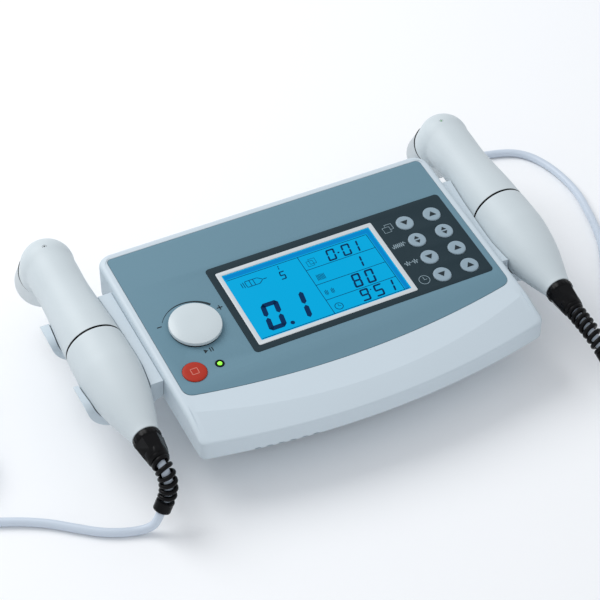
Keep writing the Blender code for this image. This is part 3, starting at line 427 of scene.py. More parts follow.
def cut(mesh, cutters, operation="DIFFERENCE"):
    """The mesh after exact Booleans with the (mesh, matrix) cutters."""
    obj = bpy.data.objects.new("work", mesh)
    bpy.context.scene.collection.objects.link(obj)
    helpers = []
    for cutter, matrix in cutters:
        helper = bpy.data.objects.new("work_cutter", cutter)
        bpy.context.scene.collection.objects.link(helper)
        helper.matrix_world = matrix
        modifier = obj.modifiers.new("cut", "BOOLEAN")
        modifier.operation, modifier.object, modifier.solver = operation, helper, "EXACT"
        helpers.append(helper)
    bpy.context.view_layer.update()
    result = bpy.data.meshes.new_from_object(obj.evaluated_get(bpy.context.evaluated_depsgraph_get()))
    for helper in [*helpers, obj]:
        bpy.data.objects.remove(helper, do_unlink=True)
    result.materials.clear()
    return result


def circle(radius, count, centre=(0.0, 0.0)):
    return [(centre[0] + radius * cos(2 * pi * i / count), centre[1] + radius * sin(2 * pi * i / count))
            for i in range(count)]


def arc_points(centre, radius, start, end, steps):
    angles = [radians(start + (end - start) * i / steps) for i in range(steps + 1)]
    return [(centre[0] + radius * cos(a), centre[1] + radius * sin(a)) for a in angles]


def rounded_box(box, radius, grow=0.0, steps=6):
    x0, y0, x1, y1 = box[0] - grow, box[1] - grow, box[2] + grow, box[3] + grow
    corners = ((x1 - radius, y1 - radius, 0), (x0 + radius, y1 - radius, 90),
               (x0 + radius, y0 + radius, 180), (x1 - radius, y0 + radius, 270))
    return [point for x, y, start in corners
            for point in arc_points((x, y), radius, start, start + 90, steps)]


def bowed_outline(half_width, rear, kink, front, sag, rear_radius, front_radius):
    """A plan outline with round corners and a bowed front edge, starting at the rear right corner.

    The sides are straight and have points down to the kink, just behind the front corners.
    """
    def front_y(x):
        return front + sag * (x / half_width) ** 2

    right = []
    for step in range(11):
        angle = radians(90 - 9 * step)
        right.append((half_width - rear_radius + rear_radius * cos(angle),
                      rear - rear_radius + rear_radius * sin(angle)))
    start = Vector((half_width, front_y(half_width) + front_radius))
    kink = max(kink, start.y + 2)
    rear_end = right[-1][1]
    for share in (0.25, 0.5, 0.75, 1.0):
        right.append((half_width, rear_end + (kink - rear_end) * share))
    corner = Vector((half_width, front_y(half_width)))
    end = Vector((half_width - front_radius, front_y(half_width - front_radius)))
    for step in range(13):
        t = step / 12
        right.append(tuple(start * (1 - t) ** 2 + corner * 2 * t * (1 - t) + end * t * t))
    for step in range(1, 19):
        x = (half_width - front_radius) * (1 - step / 18)
        right.append((x, front_y(x)))
    return right + [(-x, y) for x, y in reversed(right[:-1])]


# === camera, floor and light ================================================================

def make_camera():
    data = bpy.data.cameras.new("camera")
    data.lens, data.sensor_width = 116.0, 36.0
    camera = bpy.data.objects.new("camera", data)
    camera.location = (-0.4697, -0.9059, 0.9549)
    camera.rotation_euler = (radians(48.0), 0, radians(-27.14))
    bpy.context.scene.collection.objects.link(camera)
    bpy.context.scene.camera = camera


def make_stage():
    bm = bmesh.new()
    bmesh.ops.create_grid(bm, x_segments=1, y_segments=1, size=6.0)
    mesh = bpy.data.meshes.new("floor")
    bm.to_mesh(mesh)
    bm.free()
    floor = bpy.data.objects.new("floor", mesh)
    floor.data.materials.append(material("pale_floor", (0.93, 0.935, 0.945), 0.8, mottle=0.004,
                                         mottle_scale=2, specular=0.1))
    bpy.context.scene.collection.objects.link(floor)


def area_light(name, place, aim, size, power):
    data = bpy.data.lights.new(name, "AREA")
    data.shape, data.size, data.energy = "DISK", size, power
    light = bpy.data.objects.new(name, data)
    light.location = place
    light.rotation_euler = (Vector(aim) - Vector(place)).to_track_quat("-Z", "Y").to_euler()
    bpy.context.scene.collection.objects.link(light)


def make_light():
    world = bpy.data.worlds.new("studio")
    world.use_nodes = True
    background = world.node_tree.nodes["Background"]
    background.inputs["Color"].default_value = (0.93, 0.96, 1.0, 1)
    background.inputs["Strength"].default_value = 0.74
    bpy.context.scene.world = world
    bpy.context.scene.view_settings.view_transform = "Standard"
    area_light("key", (-0.7, 1.0, 1.4), (0, 0, 0), 1.4, 18)


# === leads ==================================================================================

LEFT_ROUTE = (
    (-172.6, -120.2, 8.2), (-178.5, -118.4, 4.4), (-186.5, -115.6, 3.1), (-194.3, -112.6, 3.1),
    (-205.7, -106.3, 3.1), (-218.9, -95.7, 3.1), (-232.0, -84.9, 3.1), (-245.9, -76.0, 3.1),
    (-261.0, -68.4, 3.1), (-278.0, -60.0, 3.1), (-294.0, -51.8, 3.1), (-304.0, -46.5, 3.1),
)
RIGHT_FRONT_ROUTE = (
    (161.5, -158.8, 24.0), (167.0, -168.5, 14.5), (177.5, -174.9, 6.4), (191.0, -174.4, 3.4),
    (203.5, -164.5, 3.1), (210.5, -147.0, 3.1), (212.5, -124.0, 3.1), (212.0, -98.0, 3.1),
)
RIGHT_REAR_ROUTE = (
    (218.1, -66.1, 3.1), (232.0, -38.5, 3.1), (247.8, -7.5, 3.1), (257.4, 22.2, 3.1),
    (263.6, 53.2, 3.1), (261.2, 86.7, 3.1), (249.6, 110.4, 3.1), (225.6, 121.2, 3.1),
    (190.0, 124.5, 3.1), (150.0, 126.5, 3.1), (115.0, 128.0, 3.3), (94.0, 128.5, 6.5),
    (80.5, 123.5, 14.0), (75.6, 114.5, 21.0), (75.0, 107.2, 23.0), (75.0, 103.6, 23.0),
)
RELIEF_END = {
    "left": (Vector((-167.5, -120.0, 18.0)), Vector((-0.5, -0.15, -0.85)).normalized()),
    "right": (Vector((158.2, -147.0, 33.5)), Vector((0.15, -0.80, -0.58)).normalized()),
}
RINGS = (35.6, 29.5, 23.4)          # radii of the turns that lie side by side
LAYERS = (3.1, 9.2, 15.3)           # heights of the turns' middles
ENTRY_RADIUS = 45.0
ENTRY, EXIT = 0.19, 0.16            # shares of a turn in which the lead joins and leaves the coil
SHIFT, CLIMB = 0.22, 0.22           # and in which a turn moves beside and onto the one before


def ease(t):
    """Smooth step from 0 to 1."""
    t = max(0.0, min(1.0, t))
    return t * t * (3 - 2 * t)


def coil_points(centre, start_angle, turns, tail_radius):
    """A neat coil wound clockwise: three turns side by side, then the next layer on them.

    The turns keep their radius and shift to the next one in the last part of each turn.
    """
    places = [(RINGS[0], LAYERS[0]), (RINGS[1], LAYERS[0]), (RINGS[2], LAYERS[0]),
              (RINGS[2], LAYERS[1]), (RINGS[1], LAYERS[1]), (RINGS[0], LAYERS[1]), (RINGS[0], LAYERS[2])]
    points = []
    steps = int(turns * 36)
    for step in range(steps + 1):
        turn = turns * step / steps
        index = min(int(turn), len(places) - 1)
        here, after = places[index], places[min(index + 1, len(places) - 1)]
        past_end = turn - index - 1
        radius = here[0] + (after[0] - here[0]) * ease((past_end + SHIFT) / SHIFT)
        height = here[1] + (after[1] - here[1]) * ease((past_end + SHIFT + CLIMB) / CLIMB)
        radius += (ENTRY_RADIUS - RINGS[0]) * (1 - ease(turn / ENTRY))
        radius += (tail_radius - radius) * ease((turn - turns + EXIT) / EXIT)
        angle = radians(start_angle) - 2 * pi * turn
        points.append(centre + Vector((radius * cos(angle), radius * sin(angle), height)))
    return points


def from_relief(side, route):
    """The curve from the end of the bend relief through the route's points, short of its last one."""
    end, heading = RELIEF_END[side]
    way = [end + heading * 0.3, end + heading * 3.0, *(Vector(p) for p in route[:-1])]
    return even(catmull(way, 10), 6.0)


def above_table(points):
    """The same line lying on the table where a curve would dip into it."""
    return [Vector((p.x, p.y, max(p.z, LEAD_RADIUS + 0.05))) for p in points]


def left_path():
    coil = coil_points(LEFT_COIL, -105.0, 6.36, 44.0)
    tail = [LEFT_PLUG + Vector(step) for step in ((-43.0, -0.8, 2.3), (-36.0, 0, 0.1), (-33.7, 0, -0.1))]
    return above_table(even(catmull([*from_relief("left", LEFT_ROUTE), *coil, *tail], 3), 2.0))


def right_path():
    coil = coil_points(RIGHT_COIL, 186.0, 5.06, 39.0)
    back = even(catmull([Vector(p) for p in RIGHT_REAR_ROUTE], 10)[6:], 6.0)
    return above_table(even(catmull([*from_relief("right", RIGHT_FRONT_ROUTE), *coil, *back], 3), 2.0))


def make_leads():
    for side, path, replaced, far_end in (
            ("left", left_path(), ("left_lead", "left_lead_coil"), "plug"),
            ("right", right_path(), ("right_lead_front", "right_lead_coil", "right_lead_rear"), "object")):
        name = f"{side}_applicator_lead"
        mesh = tube(name, path, LEAD_RADIUS, sides=14)
        lead = bpy.data.objects.new(name, mesh)
        bpy.context.scene.collection.objects.link(lead)
        mesh.materials.append(LEAD)
        mesh.shade_smooth()
        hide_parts(*replaced)
        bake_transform(lead)
        make_plug(side)


def make_plug(side):
    """Round locking plug with a knurled ring, a tapered sleeve and bend-relief grooves."""
    body = fillet([(0, 7.5), (4.3, 7.5), (4.6, 7.1), (4.6, 0.4), (7.5, 0.4), (7.9, -0.6), (7.9, -6.2),
                   (7.3, -6.6), (7.3, -7.4), (7.8, -7.8), (7.8, -13.6), (7.0, -15.8), (6.6, -18.0)], 0.35, 2)
    for i in range(5):
        z = -19.0 - 2.8 * i
        radius = 6.4 - 0.36 * i
        body += [(radius, z), (radius - 0.1, z - 1.3), (radius - 0.9, z - 1.5), (radius - 0.9, z - 2.5)]
    body += [(4.3, -33.3), (0, -33.3)]
    bm = lathe("plug", body, steps=48, into=bmesh.new())
    knurl(bm, 24, (7.7, -0.45, -5.6), (8.15, 0.45, -1.2))
    if side == "left":
        place = Matrix.Translation(LEFT_PLUG * MM) @ Matrix.Rotation(radians(90), 4, "Y")
    else:
        place = Matrix.Translation(Vector((RIGHT_SOCKET_X, REAR_FACE + 2.3, SOCKET_Z)) * MM) @ INWARD
    name = f"{side}_lead_plug"
    return add(name, finish_bmesh(name, bm), BLACK, "console", place, replaces=(f"{side}_plug",),
               slot="black_plastic")


# === console case ===========================================================================

def panel_z(y):
    return PANEL_REAR.z + (y - PANEL_REAR.y) * tan(PANEL_TILT)


def case_top_z(x, y):
    break_y = PLATE_FRONT + PLATE_SAG * (x / (CASE_HALF_WIDTH - SHOULDER)) ** 2
    if y >= break_y:
        return panel_z(y)
    return panel_z(break_y) - (break_y - y) * tan(SLOPE)


def band_z(x, y):
    return BAND_REAR_Z + (y - PANEL_REAR.y) * tan(BAND_TILT) - BAND_SAG * (x / CASE_HALF_WIDTH) ** 2


def wall_outline(side, front=None, rear=None):
    """The case's plan outline, moved in by so much at the sides, the front and the rear."""
    front = side if front is None else front
    rear = side if rear is None else rear
    return bowed_outline(CASE_HALF_WIDTH - side, CASE_REAR - rear, PLATE_FRONT + PLATE_SAG,
                         CASE_FRONT + front, CASE_SAG, 10, 5)


def plate_outline(inset):
    return bowed_outline(CASE_HALF_WIDTH - SHOULDER - inset, CASE_REAR - SHOULDER - inset,
                         PLATE_FRONT + PLATE_SAG + 5, PLATE_FRONT + inset, PLATE_SAG, 7, 4)


def overlay_outline(grow):
    return bowed_outline(OVERLAY_HALF_WIDTH + grow, OVERLAY_REAR + grow, 2.7, OVERLAY_FRONT - grow,
                         OVERLAY_SAG, 3.5, 7)


def on_panel(outline, depth):
    """Plan points, taken onto the panel's plane or to a depth from it."""
    return [tuple((PANEL @ Vector((x * MM, (y - PANEL_REAR.y) * MM, depth * MM))) / MM)
            for x, y in outline]


def shoulder_share(y):
    """How much of the shoulder's height is left; the front one is tighter than the side ones."""
    flattest, tighten_from, tighten_over = 0.35, -88, 12
    return 1 - (1 - flattest) * max(0.0, min(1.0, (tighten_from - y) / tighten_over))


def on_crease(point):
    """Whether a point lies on the line where the panel's plane breaks into the front slope."""
    x, y, z = point / MM
    front = PLATE_FRONT + 0.6 + PLATE_SAG * (x / (CASE_HALF_WIDTH - SHOULDER - 0.6)) ** 2
    return abs(y - front) < 0.4 and abs(z - panel_z(y)) < 0.05


def make_upper_case():
    rings = [on_panel(overlay_outline(0.3), POCKET_FLOOR), on_panel(overlay_outline(0.3), -0.25),
             on_panel(overlay_outline(0.55), 0.0)]
    rings.append([(x, y, panel_z(y)) for x, y in plate_outline(0.6)])
    for step in range(8, -1, -1):
        angle = radians(90 * step / 8)
        inset, drop = SHOULDER * (1 - cos(angle)), SHOULDER * (1 - sin(angle))
        rings.append([(x, y, case_top_z(x, y) - drop * shoulder_share(y))
                      for x, y in wall_outline(inset, front=inset * 0.25)])
    rings.append([(x, y, band_z(x, y) + 0.5) for x, y in wall_outline(0)])
    rings.append([(x, y, band_z(x, y)) for x, y in wall_outline(0.4)])
    rings.append([(x, y, band_z(x, y)) for x, y in wall_outline(WALL)])
    rings.append([(x, y, case_top_z(x, y) - WALL - SHOULDER) for x, y in wall_outline(WALL)])
    mesh = loft("upper_case", rings)
    cutters = []
    for i in range(6):
        x = -96 + 8 * i
        y = CASE_FRONT + CASE_SAG * (x / CASE_HALF_WIDTH) ** 2
        z = band_z(x, y) + 0.6
        cutters.append(box_cutter((x, y - 2, z), (x + 4, y + 6, z + 0.8), 0.3))
    shaft = lathe("shaft", [(0, -8), (4, -8), (4, 2), (0, 2)], 32)
    cutters.append((shaft, PANEL @ Matrix.Translation(Vector((*KNOB_PLACE, 0)) * MM)))
    mesh = cut(mesh, cutters)
    add("upper_case", mesh, CASE, "console", angle=24, replaces=("upper_housing",), slot="white_case")
    for edge in mesh.edges:
        if all(on_crease(mesh.vertices[index].co) for index in edge.vertices):
            edge.use_edge_sharp = True


def make_lower_case():
    side, front = BASE_SIDE_INSET, BASE_FRONT_INSET
    rings = [[(x, y, BASE_Z + rise) for x, y in wall_outline(side + inset, front + inset, rear)]
             for rise, inset, rear in ((0, 1.6, 2.4), (0.5, 0.4, 1.2), (1.6, -0.7, 0.8))]
    top = [(x, y, band_z(x, y) - 0.3) for x, y in wall_outline(0.8)]
    for share in (0.34, 0.67):
        rings.append([tuple(Vector(a).lerp(Vector(b), share)) for a, b in zip(rings[2], top)])
    rings.append(top)
    rings.append([(x, y, band_z(x, y) - 0.3) for x, y in wall_outline(0.8 + WALL)])
    rings.append([(x, y, BASE_Z + WALL) for x, y in wall_outline(side + 3, front + 3, 3.3)])
    cutters = []
    for x, z, radius in ((LEFT_SOCKET_X, SOCKET_Z, 8.0), (RIGHT_SOCKET_X, SOCKET_Z, 8.0),
                         (INLET_X, SOCKET_Z, 5.8), (-SCREW_X, SCREW_Z, 1.9), (SCREW_X, SCREW_Z, 1.9)):
        hole = lathe("hole", [(0, -5), (radius, -5), (radius, 5), (0, 5)], 40)
        cutters.append((hole, Matrix.Translation(Vector((x, REAR_FACE, z)) * MM) @ INWARD))
    cutters.append(box_cutter((SWITCH_X - 6.5, REAR_FACE - 6, SOCKET_Z - 9.8),
                              (SWITCH_X + 6.5, REAR_FACE + 3, SOCKET_Z + 9.8), 0.4))
    for z in (34, 39.5):
        for i in range(9):
            x = -60 + 6 * i
            cutters.append(box_cutter((x, REAR_FACE - 6, z), (x + 2.4, REAR_FACE + 3, z + 4), 0.5))
    add("lower_case", cut(loft("lower_case", rings), cutters), CASE, "console", angle=24,
        replaces=("lower_housing",), slot="white_case")


def make_feet():
    profile = fillet([(0, 5.7), (8.2, 5.7), (9.0, 5.0), (8.7, 0.6), (7.6, 0), (3.2, 0), (2.8, 1.4), (0, 1.4)],
                     0.5, 3)
    places = [(x, y) for y in (FOOT_FRONT_Y, FOOT_REAR_Y) for x in (-FOOT_X, FOOT_X)]
    for i, (x, y) in enumerate(places, 1):
        name = f"rubber_foot_{i}"
        add(name, lathe(name, profile, 48), RUBBER, "console", Matrix.Translation(Vector((x, y, 0)) * MM),
            replaces=(f"foot_{i}",), slot="black_rubber")


# === control panel ==========================================================================

def at_panel(x=0.0, y=0.0, z=0.0):
    return PANEL @ Matrix.Translation(Vector((x, y, z)) * MM)


def make_films():
    holes = [rounded_box(BEZEL_BOX, 3, 0.05), circle(STOP_RADIUS + 0.3, 64, STOP_PLACE),
             circle(4.3, 40, KNOB_PLACE), circle(3.3, 40, LED_PLACE)]
    outline = [(x, y - PANEL_REAR.y) for x, y in overlay_outline(0)]
    mesh = plate("overlay", [outline, *holes], -0.6, OVERLAY_TOP, 0.05)
    add("overlay", mesh, OVERLAY, "console", PANEL, replaces=("front_overlay",), slot="overlay_blue")
    keys = [circle(KEY_RADIUS + 0.25, 48, (x, KEY_FIRST_ROW - KEY_PITCH * row))
            for x in KEY_COLUMNS for row in range(4)]
    window = rounded_box(FRAME_BOX, 1.2, 0.05)
    mesh = plate("keypad_film", [rounded_box(BEZEL_BOX, 3), window, *keys], -0.6, BEZEL_TOP, 0.08)
    add("keypad_film", mesh, SLATE, "console", PANEL, replaces=("keypad_bezel",), slot="dark_slate")


def make_display():
    inner = rounded_box(FRAME_BOX, 0.6, -FRAME_BORDER)
    mesh = plate("window_surround", [rounded_box(FRAME_BOX, 1.2), inner], -0.6, 0.4, 0.18)
    add("window_surround", mesh, SILVER, "console", PANEL, replaces=("lcd_frame",), slot="silver_frame")
    pane = rounded_box(FRAME_BOX, 0.5, -FRAME_BORDER - 0.05)
    add("display_pane", plate("display_pane", [pane], -0.6, -0.12, 0.03), SCREEN, "console", PANEL,
        replaces=("lcd_window",), slot="display_glass")


class Ink:
    """Thin raised shapes in one plane: filled outlines and strokes."""

    SLANT = 0.16                    # of the seven-segment figures

    def __init__(self, low, high):
        self.bm, self.low, self.high = bmesh.new(), low, high

    def fill(self, points):
        if sum(a[0] * b[1] - b[0] * a[1] for a, b in zip(points, [*points[1:], points[0]])) < 0:
            points = list(reversed(points))
        low = [self.bm.verts.new((x * MM, y * MM, self.low * MM)) for x, y in points]
        high = [self.bm.verts.new((x * MM, y * MM, self.high * MM)) for x, y in points]
        self.bm.faces.new(high)
        self.bm.faces.new(list(reversed(low)))
        for i in range(len(points)):
            j = (i + 1) % len(points)
            self.bm.faces.new((low[i], low[j], high[j], high[i]))

    def stroke(self, points, width, closed=False):
        """A line along the points; its width is one number or a list."""
        points = [Vector(p) for p in points]
        count = len(points)
        widths = width if isinstance(width, list) else [width] * count
        left, right = [], []
        for i, point in enumerate(points):
            before = points[(i - 1) % count] if closed or i else points[0]
            after = points[(i + 1) % count] if closed or i < count - 1 else points[-1]
            along = (after - before).normalized()
            across = Vector((-along.y, along.x)) * widths[i] / 2
            left.append(point + across)
            right.append(point - across)
        for i in range(count if closed else count - 1):
            j = (i + 1) % count
            self.fill([tuple(left[i]), tuple(right[i]), tuple(right[j]), tuple(left[j])])

    def digit(self, figure, x, y, width, height, thick):
        """Seven-segment figure with its lower left corner at x, y."""
        lit = {"0": "abcdef", "1": "bc", "5": "acdfg", "8": "abcdefg", "9": "abcdfg"}[figure]
        middle, gap, half = height / 2, thick * 0.12, thick / 2
        # each segment's two ends, and its shift to lie inside the figure's own box
        segments = {"a": ((0, height), (width, height), (0, -half)),
                    "b": ((width, middle), (width, height), (-half, 0)),
                    "c": ((width, 0), (width, middle), (-half, 0)),
                    "d": ((0, 0), (width, 0), (0, half)),
                    "e": ((0, 0), (0, middle), (half, 0)),
                    "f": ((0, middle), (0, height), (half, 0)),
                    "g": ((0, middle), (width, middle), (0, 0))}
        for name in lit:
            start, end, inward = (Vector(p) for p in segments[name])
            along = (end - start).normalized()
            across = Vector((-along.y, along.x)) * half
            start, end = start + along * gap, end - along * gap
            shape = [start, start + along * half + across, end - along * half + across,
                     end, end - along * half - across, start + along * half - across]
            moved = [p + inward for p in shape]
            self.fill([(x + p.x + p.y * self.SLANT, y + p.y) for p in moved])

    def zigzag(self, points, width):
        for a, b in zip(points, points[1:]):
            self.stroke([a, b], width)

    def mesh(self, name):
        mesh = bpy.data.meshes.new(name)
        bmesh.ops.recalc_face_normals(self.bm, faces=self.bm.faces)
        self.bm.to_mesh(mesh)
        self.bm.free()
        return mesh


def make_display_figures():
    ink = Ink(-0.13, -0.08)
    left, middle, right, top, low = -56.6, -1.5, 53.6, -51.4, -108.6
    for rule in ([(middle, top), (middle, low)], *([(middle, y), (right, y)] for y in (-65.1, -80.2, -95.3)),
                 [(left, top), (right, top)], [(right, top), (right, low)], [(-56.9, low), (57.0, low)]):
        ink.stroke(rule, 0.45)
    rows = ((-105.0, 24.6, 3.7, (("0", -49.3, 13.4), ("1", -25.6, 9.2))),
            (-64.0, 10.6, 1.35, (("0", 17.6, 6.6), ("0", 29.6, 6.6), ("1", 38.2, 4.6))),
            (-77.8, 10.0, 1.35, (("1", 33.8, 4.6),)),
            (-93.8, 12.4, 1.5, (("8", 22.8, 6.6), ("0", 33.2, 6.6))),
            (-107.2, 10.8, 1.4, (("9", 21.8, 6.6), ("5", 32.6, 6.6), ("1", 43.4, 4.6))),
            (-66.0, 7.6, 0.95, (("5", -21.0, 4.2),)),
            (-56.6, 3.8, 0.7, (("1", -21.6, 3.6),)))
    for y, height, thick, figures in rows:
        for figure, x, width in figures:
            ink.digit(figure, x, y, width, height, thick)
    for radius, count, place in ((1.6, 20, (-31.6, -104.0)), (0.75, 16, (27.4, -58.8)),
                                 (0.5, 12, (31.6, -99.0))):
        ink.fill(circle(radius, count, place))
    # applicator sign: a head with its lead
    head = [(-45.6, -62.6), (-45.6, -57.0), (-36.0, -57.0), (-32.6, -59.8), (-36.0, -62.6)]
    ink.stroke(fillet(head, 0.8, 3, closed=True), 0.5, closed=True)
    ink.stroke([(-32.4, -59.8), (-29.6, -59.8)], 0.6)
    for x, reach in ((-48.8, 2.2), (-47.2, 2.6), (-42.2, 2.6), (-39.4, 2.6)):
        ink.stroke([(x, -59.8 - reach), (x, -59.8 + reach)], 0.5)
    # sheets, wave, bursts and clock signs at the left of the rows
    for x, y in ((2.0, -62.6), (4.2, -61.0)):
        ink.stroke([(x, y), (x + 4.8, y), (x + 4.8, y + 4.8), (x, y + 4.8)], 0.4, closed=True)
    strokes = [(2.4 + i * 0.95, -74.3, 2.7) for i in range(7)]
    strokes += [(1.2 + i * 0.95, -89.0, 2.6 if i in (1, 6) else 1.8) for i in (0, 1, 2, 5, 6, 7)]
    for x, y, reach in strokes:
        ink.stroke([(x, y - reach), (x + 0.35, y + reach)], 0.42)
    ink.stroke(circle(2.9, 32, (4.4, -103.6)), 0.5, closed=True)
    ink.stroke([(4.4, -101.6), (4.4, -103.6), (6.0, -103.6)], 0.45)
    add("display_figures", ink.mesh("display_figures"), SEGMENT, "console", PANEL, slot="dark_slate")
    edge = Ink(-0.13, -0.105)
    edge.fill([(-57.1, -50.4), (57.4, -50.4), (57.4, -46.8), (-57.1, -46.8)])
    edge.fill([(54.4, -108.9), (57.4, -108.9), (57.4, -50.4), (54.4, -50.4)])
    add("display_margin", edge.mesh("display_margin"), SCREEN_EDGE, "console", PANEL, slot="display_glass")


def make_key(label, cap, steps, ink, surfaces, place, slot):
    """Turned cap with its sign let into the top."""
    bm = lathe("cap", cap, steps, into=bmesh.new())
    bmesh.ops.recalc_face_normals(bm, faces=bm.faces)
    count = len(bm.faces)
    join(bm, ink.mesh("sign"))
    bm.faces.ensure_lookup_table()
    for face in bm.faces[count:]:
        face.material_index = 1
    mesh = bpy.data.meshes.new(f"{label}_cap")
    bm.to_mesh(mesh)
    bm.free()
    add(f"{label}_cap", mesh, surfaces, label, at_panel(*place), replaces=(f"{label}_key",), slot=slot)


def make_keys():
    cap = fillet([(0, 0.72), (3.0, 0.76), (5.2, 0.88), (5.8, 0.86), (6.35, 0.6), (KEY_RADIUS, 0.2),
                  (KEY_RADIUS, -0.25), (0, -0.25)], 0.3, 3)
    for row, label in enumerate(("program", "frequency", "duty", "timer")):
        for x, side, up in zip(KEY_COLUMNS, ("down", "up"), (-1, 1)):
            ink = Ink(0.5, 0.93)
            if label == "frequency":
                for end in (1, -1):
                    ink.fill([(-2.0, 0.75 * end), (2.0, 0.75 * end), (0, 3.5 * end)])
            else:
                ink.fill([(-2.8, -1.8 * up), (2.8, -1.8 * up), (0, 2.3 * up)])
            make_key(f"{label}_{side}", cap, 56, ink, [KEY, PRINT_DARK],
                     (x, KEY_FIRST_ROW - KEY_PITCH * row), "key_grey")
    cap = fillet([(0, 0.8), (5.5, 0.84), (7.4, 0.8), (8.2, 0.5), (STOP_RADIUS, 0.1), (STOP_RADIUS, -0.25),
                  (0, -0.25)], 0.4, 3)
    ink = Ink(0.6, 0.92)
    ink.stroke(rounded_box((-2.4, -2.4, 2.4, 2.4), 0.4, steps=3), 0.5, closed=True)
    make_key("stop", cap, 72, ink, [RED, PRINT_RED], STOP_PLACE, "stop_red")


def make_knob():
    crown, rim, under = 5.4, 3.5, 0.9
    profile = [(0, crown)]
    for share in (0.15, 0.3, 0.45, 0.6, 0.72, 0.82, 0.9, 0.95, 0.98):
        profile.append((KNOB_RADIUS * share, crown - (crown - rim) * share ** 3))
    profile += [(KNOB_RADIUS - 0.12, rim - 0.45), (KNOB_RADIUS, rim - 1.0), (KNOB_RADIUS, under + 0.5),
                (KNOB_RADIUS - 0.5, under), (3.3, under), (3.3, 4.1), (0, 4.1)]
    add("turning_knob", lathe("turning_knob", profile, 128), KNOB, "knob_cap", at_panel(*KNOB_PLACE),
        angle=40, replaces=("knob",), slot="knob_white")
    # painted shade: a black ring on the panel, just inside the knob's rim, darkens the gap beneath the knob
    outer, inner = KNOB_RADIUS - 0.4, KNOB_RADIUS - 1.6
    well = lathe("knob_painted_shade_ring", [(inner, -0.1), (outer, -0.1), (outer, 0.2), (inner, 0.2)], 128, ring=True)
    add("knob_painted_shade_ring", well, BLACK, "console", at_panel(*KNOB_PLACE), slot="dark_slate")


def make_status_led():
    ring = fillet([(3.2, -0.5), (3.2, 0.1), (2.9, 0.35), (2.0, 0.35), (1.75, 0.1), (1.75, -0.5)], 0.15, 2,
                  closed=True)
    add("status_ring", lathe("status_ring", ring, 48, ring=True), BLACK, "console", at_panel(*LED_PLACE),
        slot="black_plastic")
    lens = lathe("status_lens", [(0, 0.85), (0.7, 0.78), (1.2, 0.55), (1.6, 0.1), (1.6, -5.5), (0, -5.5)], 40)
    add("status_lens", lens, GREEN_LIT, "console", at_panel(*LED_PLACE), replaces=("status_led",),
        slot="led_green")


def make_panel_print():
    """Printed signs: the rising arc round the knob, minus, plus, play, pause and the key rows' signs."""
    ink = Ink(-0.12, -0.055)
    ink.stroke(arc_points(KNOB_PLACE, 22.6, 148, 38, 40), [0.35 + 1.5 * (i / 40) ** 1.3 for i in range(41)])
    ink.stroke([(-118.0, -71.0), (-114.6, -71.0)], 0.9)
    ink.stroke([(-73.4, -71.3), (-69.2, -71.3)], 0.9)
    ink.stroke([(-71.3, -73.4), (-71.3, -69.2)], 0.9)
    ink.fill([(-97.6, -104.6), (-97.6, -101.0), (-94.8, -102.8)])
    for x in (-93.2, -91.5):
        ink.stroke([(x, -104.6), (x, -101.0)], 0.75)
    add("panel_signs", ink.mesh("panel_signs"), PRINT_DARK, "console", PANEL, slot="dark_slate")
    ink = Ink(0.05, 0.15)
    thin = 0.35
    ink.stroke([(66.6, -56.4), (72.0, -56.4), (72.0, -51.2), (66.6, -51.2)], thin, closed=True)
    ink.stroke([(69.2, -51.2), (69.2, -49.0), (74.6, -49.0), (74.6, -54.2), (72.0, -54.2)], thin)
    wave = [(65.6 + 0.75 * i, -68.3 if i % 2 else -72.5) for i in range(12)]
    ink.zigzag([(64.4, -70.4), *wave, (75.4, -70.4)], thin)
    middle, burst = -88.3, [(0, 0), (0.9, 1.1), (1.7, -2.3), (2.5, 2.3), (3.3, -2.3), (4.1, 1.1), (4.8, 0)]
    for x in (64.6, 70.6):
        ink.zigzag([(x + along, middle + rise) for along, rise in burst], thin)
    ink.stroke([(69.4, middle), (70.6, middle)], thin)
    ink.stroke(circle(3.9, 40, (70.4, -106.6)), thin, closed=True)
    ink.stroke([(70.4, -104.0), (70.4, -106.6), (72.6, -106.6)], thin)
    add("key_row_signs", ink.mesh("key_row_signs"), PRINT_LIGHT, "console", PANEL, slot="key_grey")


# === cradles ================================================================================

def seam_frame(side):
    return (Matrix.Translation(Vector((SEAM_X[side], SEAM_Y, SEAM_Z)) * MM)
            @ Matrix.Rotation(YAW[side], 4, "Z") @ Matrix.Rotation(HANDLE_TILT, 4, "X"))


ARM_END = {"left": -176, "right": -166}      # degrees round the handle, from the wall side
ARM_TOP = {"left": -2.2, "right": -6.6}      # height of the arms in the handle's frame


def held_radius(y):
    """The applicator's radius where the cradle holds it."""
    stations = [*reversed(HANDLE_STATIONS), *NECK_STATIONS[1:]]
    for (y0, r0), (y1, r1) in zip(stations, stations[1:]):
        if y0 <= y <= y1:
            return r0 + (r1 - r0) * (y - y0) / (y1 - y0)
    return stations[-1][1]


